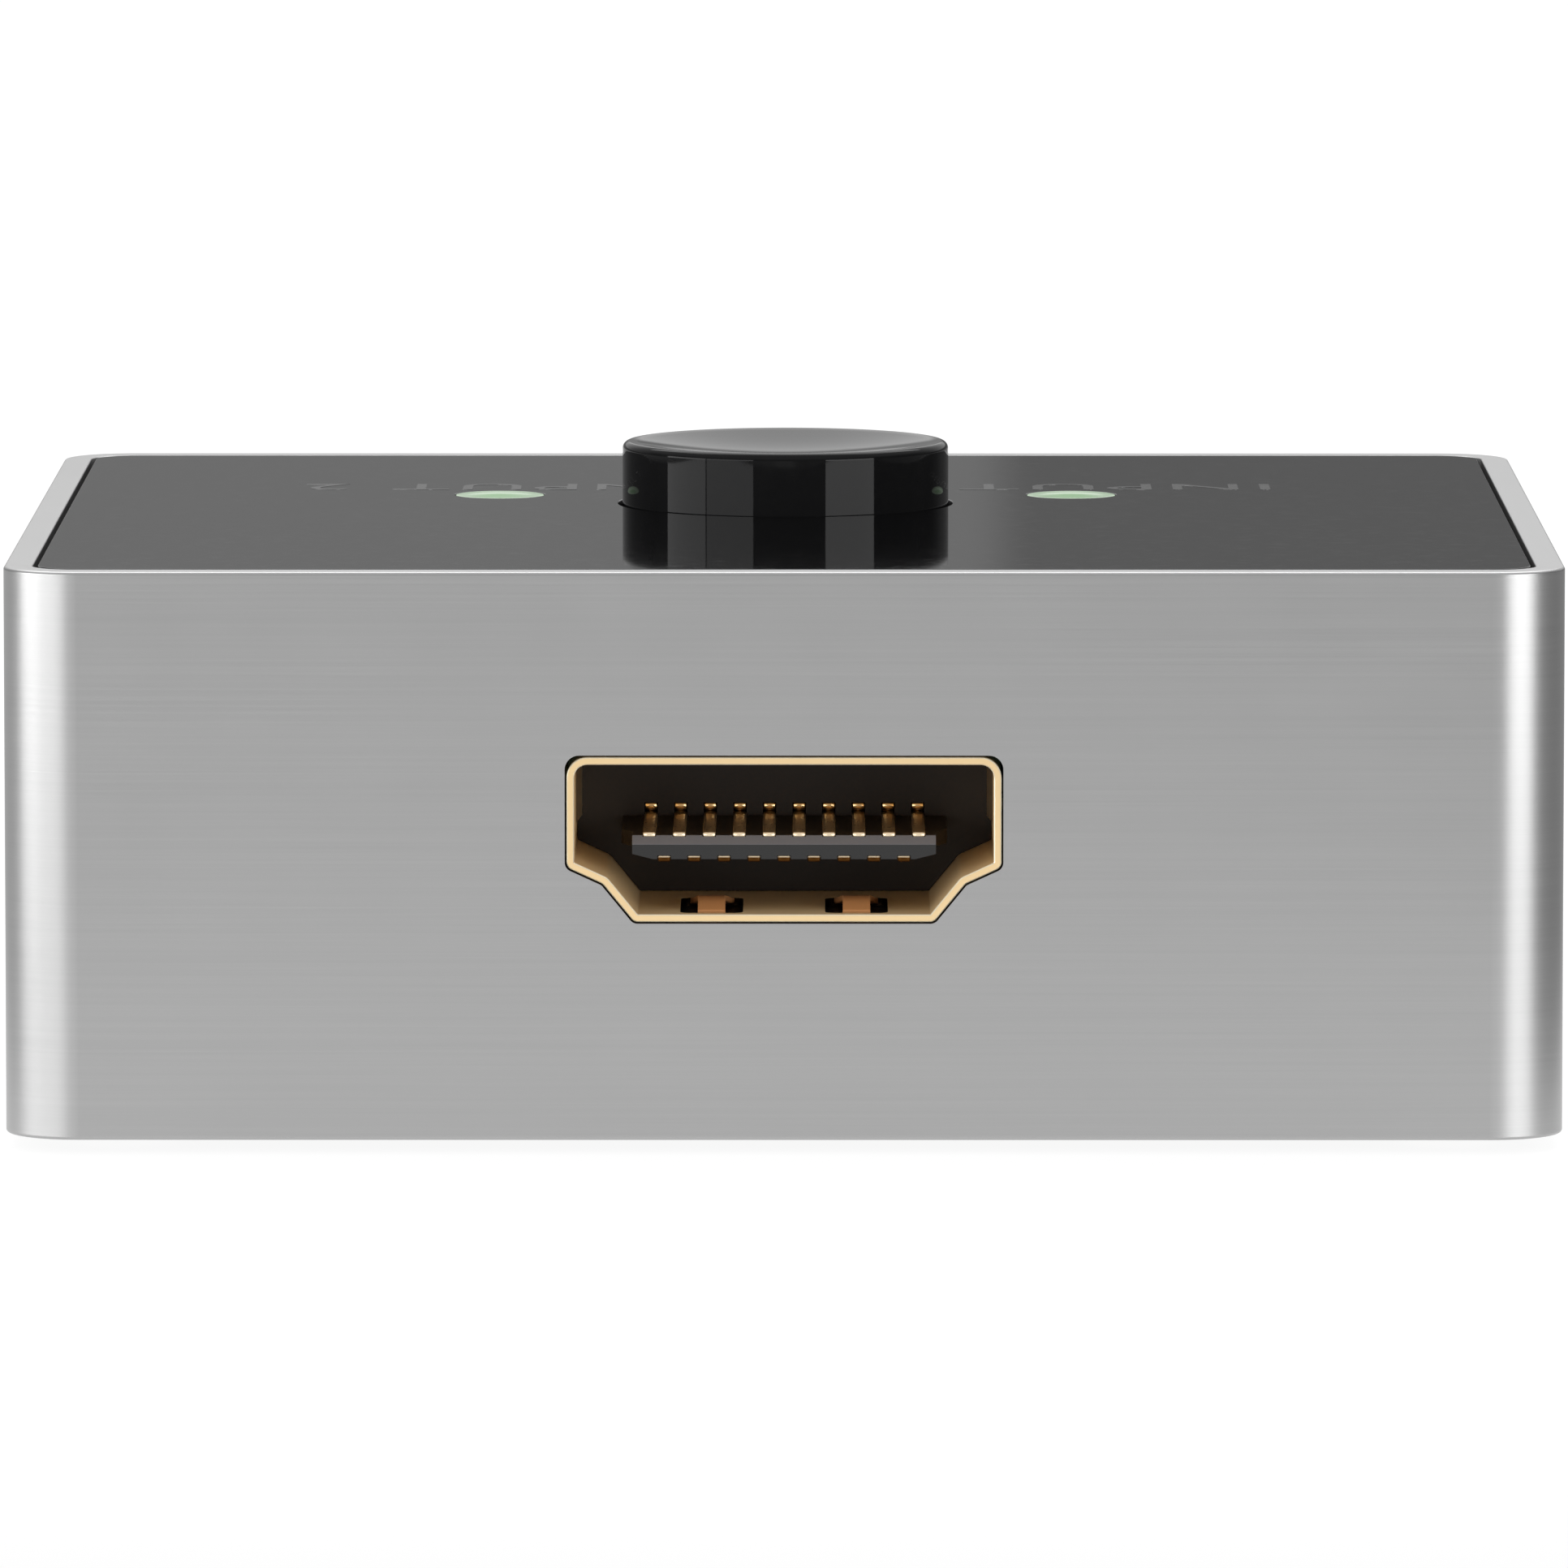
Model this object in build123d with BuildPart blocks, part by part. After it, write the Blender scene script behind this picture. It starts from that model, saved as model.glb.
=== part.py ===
from build123d import *

import os

os.makedirs("parts", exist_ok=True)

# Two-to-one video switch: an aluminium ring closed by a gloss panel above and a plate below,
# one output socket at the front (-Y) and two input sockets at the back (+Y), and a push
# button that steps between the inputs. Z = 0 is the surface that the feet stand on.

# ---- driving dimensions, mm ----
width = 52.2
depth = 47.4
height = 19.05
corner = 2.5
rim = 0.98
wall = 1.8
edge_break = 0.1
opening_corner = 1.6

foot_proud = 0.5
foot_length = 9.0
foot_breadth = 5.0
foot_corner = 1.2
foot_edge = 0.2
foot_recess_gap = 0.1
foot_thickness = 0.9
foot_x = 18.0
foot_y = 15.0

plate_thickness = 1.5
plate_inset = 0.1
plate_gap = 0.1
lip_thickness = 1.0
lip_height = 1.6
side_lip_length = 30.0
end_lip_length = 34.0

panel_thickness = 1.5
panel_gap = 0.16
panel_corner = 1.45
adhesive_thickness = 0.15
carrier_thickness = 1.2

screw_x = 22.4
screw_y = 20.1
boss_reach = 2.4
boss_bore_depth = 8.0
tap_bore = 1.7
screw_shank = 1.6
screw_head = 3.4
screw_head_height = 0.9
screw_length = 5.0
head_bore = 3.6
head_bore_depth = 1.0

board_thickness = 1.6
board_gap = 0.4
post_x = 20.9
post_y = 8.5
post_size = 4.0
post_bore_depth = 3.6
screw_clearance = 2.2
board_head_height = 1.1
board_screw_length = 4.8

button_diameter = 11.4
button_hole = 11.7
button_proud = 2.25
button_y = 3.0
button_dish = 0.5
button_edge = 0.3

window_diameter = 3.1
window_x = 10.05
window_y = 6.25
window_gap = 0.03

socket_height = 10.1
socket_half_height = 2.76
socket_half_width = 7.25
input_x = 11.5
socket_wall = 0.25
socket_gap = 0.06
socket_depth = 10.9
cavity_depth = 7.0
contact_pitch = 1.0
contact_width = 0.43
contact_thickness = 0.2
upper_count = 10
lower_count = 9

# ---- levels above the standing surface ----
body_bottom = foot_proud
body_top = body_bottom + height
plate_bottom = body_bottom + plate_inset
plate_top = plate_bottom + plate_thickness
panel_bottom = body_top - panel_thickness
ledge_top = panel_bottom - adhesive_thickness
carrier_bottom = ledge_top - carrier_thickness
socket_centre = body_bottom + socket_height
board_top = socket_centre - socket_half_height
board_bottom = board_top - board_thickness

corner_places = [(x, y) for x in (-screw_x, screw_x) for y in (-screw_y, screw_y)]
post_places = [(x, y) for x in (-post_x, post_x) for y in (-post_y, post_y)]
board_screw_places = [(-post_x, -post_y), (post_x, post_y)]
window_places = [(window_x, window_y), (-window_x, window_y)]


def mouth(x, side):
    """The plane of a socket's mouth: local x across, y up and z out of the housing."""
    return Plane(origin=(x, side * depth / 2, socket_centre), x_dir=(-side, 0, 0), z_dir=(0, side, 0))


mouths = {
    "output": mouth(0, -1),
    "input_1": mouth(input_x, 1),
    "input_2": mouth(-input_x, 1),
}


def upright(x, y):
    """A vertical plane through (x, y) for turned profiles: local x is the radius, local y is Z."""
    return Plane(origin=(x, y, 0), x_dir=(1, 0, 0), z_dir=(0, -1, 0))


# ---- the socket's outline, wide side up ----
socket_corners = [
    (-socket_half_width, socket_half_height),
    (socket_half_width, socket_half_height),
    (socket_half_width, -0.93),
    (6.05, -1.48),
    (5.0, -socket_half_height),
    (-5.0, -socket_half_height),
    (-6.05, -1.48),
    (-socket_half_width, -0.93),
]


def socket_outline(growth, top_radius):
    """The socket's section, grown or shrunk all round, with its top corners rounded."""
    with BuildSketch() as outline:
        with BuildLine():
            Polyline(*socket_corners, close=True)
        make_face()
        if growth:
            offset(amount=growth, kind=Kind.INTERSECTION, mode=Mode.REPLACE)
        fillet(outline.vertices().group_by(Axis.Y)[-1], top_radius)
    return outline.sketch


shell_outer = socket_outline(0, 0.7)
shell_inner = socket_outline(-socket_wall, 0.45)
moulding_outline = socket_outline(-socket_wall - 0.02, 0.43)
housing_cutout = socket_outline(socket_gap, 0.45)

# ---- housing: one aluminium ring, stepped at both ends for the panel and the plate ----
with BuildPart() as housing:
    with BuildSketch(Plane.XY.offset(body_bottom)):
        RectangleRounded(width, depth, corner)
    extrude(amount=height)
    outer_rims = housing.edges().filter_by(Plane.XY)
    chamfer(outer_rims, edge_break)
    with BuildSketch(Plane.XY.offset(ledge_top)):
        RectangleRounded(width - 2 * rim, depth - 2 * rim, opening_corner)
    extrude(amount=height, mode=Mode.SUBTRACT)
    with BuildSketch(Plane.XY.offset(plate_top)):
        RectangleRounded(width - 2 * rim, depth - 2 * rim, opening_corner)
    extrude(amount=-height, mode=Mode.SUBTRACT)
    with BuildSketch(Plane.XY.offset(plate_top)):
        Rectangle(width - 2 * wall, depth - 2 * wall)
    extrude(amount=ledge_top - plate_top, mode=Mode.SUBTRACT)
    # corner blocks, tapped from below, that carry the inner frame on their tops
    with BuildSketch(Plane.XY.offset(plate_top)):
        with Locations(*corner_places):
            Rectangle(2 * boss_reach, 2 * boss_reach)
    extrude(amount=carrier_bottom - plate_top)
    with BuildSketch(Plane.XY.offset(plate_top)):
        with Locations(*corner_places):
            Circle(tap_bore / 2)
    extrude(amount=boss_bore_depth, mode=Mode.SUBTRACT)
    # the three socket cut-outs
    for plane in mouths.values():
        with BuildSketch(plane):
            add(housing_cutout)
        extrude(amount=-(wall + 0.2), mode=Mode.SUBTRACT)
housing.part.label = "housing"
export_step(housing.part, "parts/housing.step")


def foot_pad(gap):
    """The outline of one foot, grown by a gap all round: a rectangle with its corners cut off."""
    half_x = foot_length / 2 + gap
    half_y = foot_breadth / 2 + gap
    Polygon(
        (half_x, half_y - foot_corner),
        (half_x - foot_corner, half_y),
        (foot_corner - half_x, half_y),
        (-half_x, half_y - foot_corner),
        (-half_x, foot_corner - half_y),
        (foot_corner - half_x, -half_y),
        (half_x - foot_corner, -half_y),
        (half_x, foot_corner - half_y),
    )


# ---- base plate: moulded, with posts for the board, lips inside the ring and foot recesses ----
lip_x = width / 2 - wall - plate_gap - lip_thickness / 2
lip_y = depth / 2 - wall - plate_gap - lip_thickness / 2
with BuildPart() as base_plate:
    with BuildSketch(Plane.XY.offset(plate_bottom)):
        RectangleRounded(width - 2 * rim - 2 * plate_gap, depth - 2 * rim - 2 * plate_gap, corner - rim)
    extrude(amount=plate_thickness)
    with BuildSketch(Plane.XY.offset(plate_top)):
        with Locations((-lip_x, 0), (lip_x, 0)):
            Rectangle(lip_thickness, side_lip_length)
        with Locations((0, -lip_y), (0, lip_y)):
            Rectangle(end_lip_length, lip_thickness)
    extrude(amount=lip_height)
    with BuildSketch(Plane.XY.offset(plate_top)):
        with Locations(*post_places):
            Rectangle(post_size, post_size)
    extrude(amount=board_bottom - plate_top)
    with BuildSketch(Plane.XY.offset(board_bottom)):
        with Locations(*board_screw_places):
            Circle(tap_bore / 2)
    extrude(amount=-post_bore_depth, mode=Mode.SUBTRACT)
    with BuildSketch(Plane.XY.offset(plate_bottom)):
        with GridLocations(2 * foot_x, 2 * foot_y, 2, 2):
            foot_pad(foot_recess_gap)
    extrude(amount=foot_thickness - plate_bottom, mode=Mode.SUBTRACT)
    # counterbored screw holes
    with BuildSketch(Plane.XY.offset(plate_bottom)):
        with Locations(*corner_places):
            Circle(head_bore / 2)
    extrude(amount=head_bore_depth, mode=Mode.SUBTRACT)
    with BuildSketch(Plane.XY.offset(plate_bottom)):
        with Locations(*corner_places):
            Rectangle(screw_clearance, screw_clearance)
    extrude(amount=plate_thickness, mode=Mode.SUBTRACT)
base_plate.part.label = "base_plate"
export_step(base_plate.part, "parts/base_plate.step")

# ---- cheese-head screws, sunk in the plate, that hold it to the ring ----
head_seat = plate_bottom + head_bore_depth
with BuildPart() as base_screws:
    with BuildSketch(Plane.XY.offset(head_seat)):
        with Locations(*corner_places):
            Circle(screw_head / 2)
    extrude(amount=-screw_head_height)
    with BuildSketch(Plane.XY.offset(head_seat)):
        with Locations(*corner_places):
            Circle(screw_shank / 2)
    extrude(amount=screw_length)
base_screws.part.label = "base_screws"
export_step(base_screws.part, "parts/base_screws.step")

# ---- rubber feet, bedded in the plate ----
with BuildPart() as rubber_feet:
    with BuildSketch():
        with GridLocations(2 * foot_x, 2 * foot_y, 2, 2):
            foot_pad(0)
    extrude(amount=foot_thickness)
    chamfer(rubber_feet.edges().group_by(Axis.Z)[0], foot_edge)
rubber_feet.part.label = "rubber_feet"
export_step(rubber_feet.part, "parts/rubber_feet.step")

# ---- top panel: gloss acrylic, level with the rim ----
panel_width = width - 2 * rim - 2 * panel_gap
panel_depth = depth - 2 * rim - 2 * panel_gap
with BuildPart() as top_panel:
    with BuildSketch(Plane.XY.offset(panel_bottom)):
        RectangleRounded(panel_width, panel_depth, panel_corner)
        with Locations((0, button_y)):
            Circle(button_hole / 2, mode=Mode.SUBTRACT)
        with Locations(*window_places):
            Circle(window_diameter / 2 + window_gap, mode=Mode.SUBTRACT)
    extrude(amount=panel_thickness)
top_panel.part.label = "top_panel"
export_step(top_panel.part, "parts/top_panel.step")

# ---- adhesive sheet between the panel, the ring's ledge and the inner frame ----
flange_size = 13.0
guide_size = flange_size + 0.2
adhesive_margin = 0.6
window_opening = window_diameter + adhesive_margin
with BuildPart() as panel_adhesive:
    with BuildSketch(Plane.XY.offset(ledge_top)):
        RectangleRounded(panel_width - adhesive_margin, panel_depth - adhesive_margin, 1.2)
        with Locations((0, button_y)):
            Rectangle(guide_size + adhesive_margin, guide_size + adhesive_margin, mode=Mode.SUBTRACT)
        with Locations(*window_places):
            Rectangle(window_opening, window_opening, mode=Mode.SUBTRACT)
    extrude(amount=adhesive_thickness)
panel_adhesive.part.label = "panel_adhesive"
export_step(panel_adhesive.part, "parts/panel_adhesive.step")

# ---- inner frame: carries the panel, guides the button and seats the light pipes ----
leg_x = 21.6
leg_y = 14.2
leg_size = 2.0
collar_wall = 1.0
collar_drop = 1.6
pipe_flange = 4.4
pipe_flange_height = 0.8
pipe_stem = 2.4
seat_wall = 0.7
rib_thickness = 0.8
rib_drop = 1.2
rib_x = 15.3
rib_ends = (-7.5, 13.0)
with BuildPart() as inner_frame:
    with BuildSketch(Plane.XY.offset(carrier_bottom)):
        RectangleRounded(width - 2 * wall - 0.2, depth - 2 * wall - 0.2, 0.9)
    extrude(amount=carrier_thickness)
    # collar round the button's flange and seats that trap the light pipes under the panel
    with BuildSketch(Plane.XY.offset(carrier_bottom)):
        with Locations((0, button_y)):
            Rectangle(guide_size + 2 * collar_wall, guide_size + 2 * collar_wall)
        with Locations(*window_places):
            Rectangle(pipe_flange + 2 * seat_wall, pipe_flange + 2 * seat_wall)
    extrude(amount=-collar_drop)
    # stiffening ribs under the plate
    with BuildSketch(Plane.XY.offset(carrier_bottom)):
        with Locations((-rib_x, 0), (rib_x, 0)):
            Rectangle(rib_thickness, 38)
        with Locations(*((0, y) for y in rib_ends)):
            Rectangle(2 * leg_x, rib_thickness)
    extrude(amount=-rib_drop)
    with BuildSketch(Plane.XY.offset(ledge_top)):
        with Locations((0, button_y)):
            Rectangle(guide_size, guide_size)
        with Locations(*window_places):
            Rectangle(pipe_stem + 0.2, pipe_stem + 0.2)
    extrude(amount=-carrier_thickness - collar_drop, mode=Mode.SUBTRACT)
    with BuildSketch(Plane.XY.offset(ledge_top)):
        with Locations(*window_places):
            Rectangle(pipe_flange + 0.1, pipe_flange + 0.1)
    extrude(amount=-pipe_flange_height, mode=Mode.SUBTRACT)
    # legs that stand on the board
    with BuildSketch(Plane.XY.offset(board_top)):
        with GridLocations(2 * leg_x, 2 * leg_y, 2, 2):
            Rectangle(leg_size, leg_size)
    extrude(amount=carrier_bottom - board_top)
inner_frame.part.label = "inner_frame"
export_step(inner_frame.part, "parts/inner_frame.step")

# ---- button cap: a turned, dished cup on a square flange that keeps it in and stops it turning ----
button_top = body_top + button_proud
button_radius = button_diameter / 2
button_bore = 4.7
button_ceiling = button_top - button_dish - 1.0
button_stem = 3.4
flange_top = panel_bottom - 0.1
flange_bottom = flange_top - 0.9
plunger_top = board_top + 7.0


def dish_point(radius):
    """A point of the dished top: deepest on the axis and level with the edge at the rim."""
    return (radius, button_top - button_dish * (1 - (radius / button_radius) ** 2))


with BuildPart() as button_cap:
    with BuildSketch(upright(0, button_y)):
        with BuildLine():
            Polyline(
                (0, button_top - button_dish),
                dish_point(2.6),
                dish_point(button_radius - button_edge),
                (button_radius, button_top - button_edge),
                (button_radius, flange_bottom),
                (button_bore, flange_bottom),
                (button_bore, button_ceiling),
                (0, button_ceiling),
                close=True,
            )
        make_face()
    revolve(axis=Axis((0, button_y, 0), (0, 0, 1)))
    with BuildSketch(Plane.XY.offset(flange_bottom)):
        with Locations((0, button_y)):
            Rectangle(flange_size, flange_size)
            Circle(button_bore, mode=Mode.SUBTRACT)
    extrude(amount=flange_top - flange_bottom)
    with BuildSketch(Plane.XY.offset(plunger_top)):
        with Locations((0, button_y)):
            Rectangle(button_stem, button_stem)
    extrude(amount=button_ceiling - plunger_top)
button_cap.part.label = "button_cap"
export_step(button_cap.part, "parts/button_cap.step")

# ---- push switch under the button ----
switch_size = 6.0
switch_height = 3.3
well_size = 4.2
well_floor = board_top + 2.1
cover_thickness = 0.2
cover_bottom = board_top + switch_height
plunger_size = 3.4
dome_rise = 0.3
dome_sheet = 0.1
with BuildPart() as switch_base:
    with BuildSketch(Plane.XY.offset(board_top)):
        with Locations((0, button_y)):
            Rectangle(switch_size, switch_size)
    extrude(amount=switch_height)
    chamfer(switch_base.edges().filter_by(Axis.Z), 0.4)
    with BuildSketch(Plane.XY.offset(well_floor)):
        with Locations((0, button_y)):
            Rectangle(well_size, well_size)
    extrude(amount=switch_height, mode=Mode.SUBTRACT)
switch_base.part.label = "switch_base"
export_step(switch_base.part, "parts/switch_base.step")

with BuildPart() as switch_cover:
    with BuildSketch(Plane.XY.offset(cover_bottom)):
        with Locations((0, button_y)):
            Rectangle(switch_size, switch_size)
            Rectangle(plunger_size + 0.16, plunger_size + 0.16, mode=Mode.SUBTRACT)
    extrude(amount=cover_thickness)
    # two clips folded down over the base
    with BuildSketch(Plane.XY.offset(cover_bottom + cover_thickness)):
        clip_y = (switch_size + cover_thickness) / 2
        with Locations((0, button_y - clip_y), (0, button_y + clip_y)):
            Rectangle(3.0, cover_thickness)
    extrude(amount=-2.2)
switch_cover.part.label = "switch_cover"
export_step(switch_cover.part, "parts/switch_cover.step")

# snap spring: a strip of thin sheet, arched over the well's floor
dome_edge = well_size / 2 - 0.15
dome_crown = 0.9
dome_breadth = 2.6
with BuildPart() as switch_dome:
    with BuildSketch(upright(0, button_y)):
        Polygon(
            (-dome_edge, well_floor),
            (-dome_crown, well_floor + dome_rise - dome_sheet),
            (dome_crown, well_floor + dome_rise - dome_sheet),
            (dome_edge, well_floor),
            (dome_edge, well_floor + dome_sheet),
            (dome_crown, well_floor + dome_rise),
            (-dome_crown, well_floor + dome_rise),
            (-dome_edge, well_floor + dome_sheet),
            align=None,
        )
    extrude(amount=dome_breadth / 2, both=True)
switch_dome.part.label = "switch_dome"
export_step(switch_dome.part, "parts/switch_dome.step")

with BuildPart() as switch_plunger:
    plunger_foot = well_floor + dome_rise + 0.06
    with BuildSketch(Plane.XY.offset(plunger_foot)):
        with Locations((0, button_y)):
            Rectangle(well_size - 0.2, well_size - 0.2)
    extrude(amount=cover_bottom - 0.06 - plunger_foot)
    with BuildSketch(Plane.XY.offset(plunger_foot)):
        with Locations((0, button_y)):
            Rectangle(plunger_size, plunger_size)
    extrude(amount=plunger_top - plunger_foot)
switch_plunger.part.label = "switch_plunger"
export_step(switch_plunger.part, "parts/switch_plunger.step")

lead_x = switch_size / 2 + 0.15
lead_y = 2.25
lead_places = [(x, button_y + y) for x in (-lead_x, lead_x) for y in (-lead_y, lead_y)]
with BuildPart() as switch_leads:
    with BuildSketch(Plane.XY.offset(board_bottom - 0.9)):
        with Locations(*lead_places):
            Rectangle(0.3, 0.7)
    extrude(amount=board_thickness + 0.9 + 1.6)
switch_leads.part.label = "switch_leads"
export_step(switch_leads.part, "parts/switch_leads.step")

# ---- socket: formed shell, moulding with a tongue, ten contacts above and nine below ----
# Each piece is made once at a mouth on the XY plane, z pointing out, then placed at each port.
spring_x = 2.42
spring_width = 2.1
spring_front = 0.5
spring_back = 5.0
spring_middle = -(spring_front + spring_back) / 2
spring_peak = 0.38
low_inside = socket_half_height - socket_wall
leg_depths = (4.4, 9.4)
leg_reach = 2.1
roof_reach = 12.35
roof_breadth = 11.0
roof_fold = 3.76
lug_lean = 0.17
leg_spread = socket_half_width - socket_wall / 2

# a spring finger in the floor of the shell, rooted deep in the cavity and bowed towards its mouth
with BuildPart() as spring_finger:
    with BuildSketch(Plane.YZ):
        with BuildLine():
            Polyline(
                (-low_inside, -spring_back - 0.1),
                (-low_inside, -spring_back + 0.2),
                (-low_inside + spring_peak, -1.9),
                (-low_inside + 0.02, -0.85),
                (-low_inside - 0.19, -0.85),
                (-low_inside + spring_peak - 0.22, -1.9),
                (-low_inside - 0.2, -spring_back + 0.2),
                (-low_inside - 0.2, -spring_back - 0.1),
                close=True,
            )
        make_face()
    extrude(amount=0.8, both=True)
    with BuildSketch(Plane.XZ.offset(socket_half_height + 1)):
        Polygon(
            (-0.75, -spring_back - 0.2),
            (0.75, -spring_back - 0.2),
            (0.75, -spring_back + 1.2),
            (0.46, -2.6),
            (0.46, 0),
            (-0.46, 0),
            (-0.46, -2.6),
            (-0.75, -spring_back + 1.2),
            align=None,
        )
    extrude(amount=-2, mode=Mode.INTERSECT)

with BuildPart() as socket_shell:
    with BuildSketch():
        add(shell_outer)
        add(shell_inner, mode=Mode.SUBTRACT)
    extrude(amount=-socket_depth)
    # two spring windows in the floor, each with its finger
    with BuildSketch(Plane.XZ.offset(socket_half_height + 0.2)):
        with Locations((-spring_x, spring_middle), (spring_x, spring_middle)):
            Rectangle(spring_width, spring_back - spring_front)
    extrude(amount=-0.6, mode=Mode.SUBTRACT)
    with Locations((-spring_x, 0, 0), (spring_x, 0, 0)):
        add(spring_finger.part)
    # a lug leaning in from each side wall, which stops the moulding
    for side in (-1, 1):
        with BuildSketch(Plane.XZ.offset(-2.2)):
            lug_wall = side * (socket_half_width - socket_wall)
            Polygon(
                (lug_wall + side * 0.05, -4.2),
                (lug_wall - side * lug_lean, -6.6),
                (lug_wall - side * lug_lean, -6.98),
                (lug_wall + side * 0.05, -6.98),
                align=None,
            )
        extrude(amount=2.1)
    # legs through the board
    with BuildSketch(Plane.XZ.offset(socket_half_height + leg_reach)):
        for leg_depth in leg_depths:
            with Locations((-leg_spread, -leg_depth), (leg_spread, -leg_depth)):
                Rectangle(socket_wall, 1.0)
    extrude(amount=-2 * leg_reach - 0.2)
    # roof carried back and folded down behind the contact tails
    with BuildSketch(Plane.XZ.offset(-socket_half_height)):
        with Locations((0, -(socket_depth + roof_reach) / 2)):
            Rectangle(roof_breadth, roof_reach - socket_depth)
    extrude(amount=socket_wall)
    with BuildSketch(Plane.XY.offset(-roof_reach)):
        with Locations((0, socket_half_height - roof_fold / 2)):
            Rectangle(roof_breadth, roof_fold)
    extrude(amount=socket_wall)

# contact profiles in the plane of height (first) and depth (second)
tail_depth = 12.5
board_level = -socket_half_height
upper_low = -0.05
upper_high = upper_low + contact_thickness
hook_low = 0.28
hook_high = hook_low + 0.22
lower_high = -0.60
lower_low = lower_high - contact_thickness
upper_profile = [
    (upper_low, -0.95),
    (upper_high, -0.95),
    (upper_high, -7.7),
    (hook_low, -7.7),
    (hook_low, -cavity_depth - 0.02),
    (hook_high, -cavity_depth - 0.02),
    (hook_high, -7.9),
    (upper_high, -7.9),
    (upper_high, -11.8),
    (board_level + contact_thickness, -11.8),
    (board_level + contact_thickness, -tail_depth),
    (board_level, -tail_depth),
    (board_level, -11.6),
    (upper_low, -11.6),
]
lower_profile = [
    (lower_high, -0.55),
    (lower_high, -11.15),
    (board_level + contact_thickness, -11.15),
    (board_level + contact_thickness, -tail_depth),
    (board_level, -tail_depth),
    (board_level, -10.95),
    (lower_low, -10.95),
    (lower_low, -0.55),
]


def contact_row(profile, count):
    """A row of bent contacts, side by side at the pitch."""
    with BuildPart() as row:
        first = -(count - 1) / 2 * contact_pitch
        for number in range(count):
            with BuildSketch(Plane.YZ.offset(first + number * contact_pitch)):
                Polygon(*profile, align=None)
        extrude(amount=contact_width / 2, both=True)
    return row.part


upper_row = contact_row(upper_profile, upper_count)
lower_row = contact_row(lower_profile, lower_count)

tongue_nose = 0.6
tongue_top = 0.05
tongue_bottom = -0.72
tongue_half_width = 5.07
shoulder_half_width = 5.45
with BuildPart() as socket_insulator:
    with BuildSketch(Plane.XY.offset(-cavity_depth)):
        add(moulding_outline)
    extrude(amount=cavity_depth - socket_depth)
    # tongue: bevelled nose, chamfered lower corners
    with BuildSketch(Plane.YZ):
        Polygon(
            (tongue_top, -cavity_depth),
            (tongue_top, -tongue_nose - 0.35),
            (-0.22, -tongue_nose),
            (tongue_bottom, -tongue_nose),
            (tongue_bottom, -cavity_depth),
            align=None,
        )
    extrude(amount=tongue_half_width, both=True)
    for side in (-1, 1):
        with BuildSketch():
            Polygon(
                (side * (tongue_half_width + 0.1), tongue_bottom + 0.2),
                (side * (tongue_half_width - 0.69), tongue_bottom),
                (side * (tongue_half_width + 0.1), tongue_bottom - 0.1),
                align=None,
            )
        extrude(amount=-cavity_depth, mode=Mode.SUBTRACT)
    # shoulders, tapered in plan, that widen the tongue behind its nose
    with BuildSketch(Plane.XZ.offset(-tongue_top)):
        Polygon(
            (-shoulder_half_width, -cavity_depth),
            (-shoulder_half_width, -3.0),
            (-tongue_half_width, -2.0),
            (tongue_half_width, -2.0),
            (shoulder_half_width, -3.0),
            (shoulder_half_width, -cavity_depth),
            align=None,
        )
    extrude(amount=0.5)
    # slots through the back wall for both rows, and over the upper row for its hooks
    with BuildSketch(Plane.XY.offset(-cavity_depth)):
        with Locations((0, (upper_low + upper_high) / 2)):
            Rectangle(upper_count * contact_pitch, contact_thickness)
        with Locations((0, (lower_low + lower_high) / 2)):
            Rectangle(lower_count * contact_pitch, contact_thickness)
    extrude(amount=cavity_depth - socket_depth, mode=Mode.SUBTRACT)
    with BuildSketch(Plane.XY.offset(-cavity_depth)):
        with Locations((0, (upper_high + hook_high) / 2)):
            Rectangle(upper_count * contact_pitch, hook_high - upper_high)
    extrude(amount=-0.9, mode=Mode.SUBTRACT)
    # the contacts' own grooves in the tongue
    add(upper_row, mode=Mode.SUBTRACT)
    add(lower_row, mode=Mode.SUBTRACT)

socket_pieces = {
    "shell": socket_shell.part,
    "insulator": socket_insulator.part,
    "upper_contacts": upper_row,
    "lower_contacts": lower_row,
}
for port, plane in mouths.items():
    for piece, shape in socket_pieces.items():
        with BuildPart(plane) as placed:
            add(shape)
        placed.part.label = f"{port}_{piece}"
        export_step(placed.part, f"parts/{port}_{piece}.step")

# ---- main board, cut round the corner bosses, with slots for the sockets' legs ----
board_x = width - 2 * wall - 2 * board_gap
board_y = depth - 2 * wall - 2 * board_gap
with BuildPart() as main_board:
    with BuildSketch(Plane.XY.offset(board_bottom)):
        RectangleRounded(board_x, board_y, 0.8)
        with Locations(*corner_places):
            Rectangle(2 * boss_reach + 0.8, 2 * boss_reach + 0.8, mode=Mode.SUBTRACT)
        with Locations(*board_screw_places):
            Circle(screw_clearance / 2, mode=Mode.SUBTRACT)
        with Locations(*lead_places):
            Rectangle(0.7, 1.1, mode=Mode.SUBTRACT)
        for plane in mouths.values():
            side = plane.z_dir.Y
            for leg_depth in leg_depths:
                leg_place = plane.origin.Y - side * leg_depth
                for leg_side in (-leg_spread, leg_spread):
                    with Locations((plane.origin.X + leg_side, leg_place)):
                        Rectangle(0.8, 1.5, mode=Mode.SUBTRACT)
    extrude(amount=board_thickness)
main_board.part.label = "main_board"
export_step(main_board.part, "parts/main_board.step")

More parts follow.
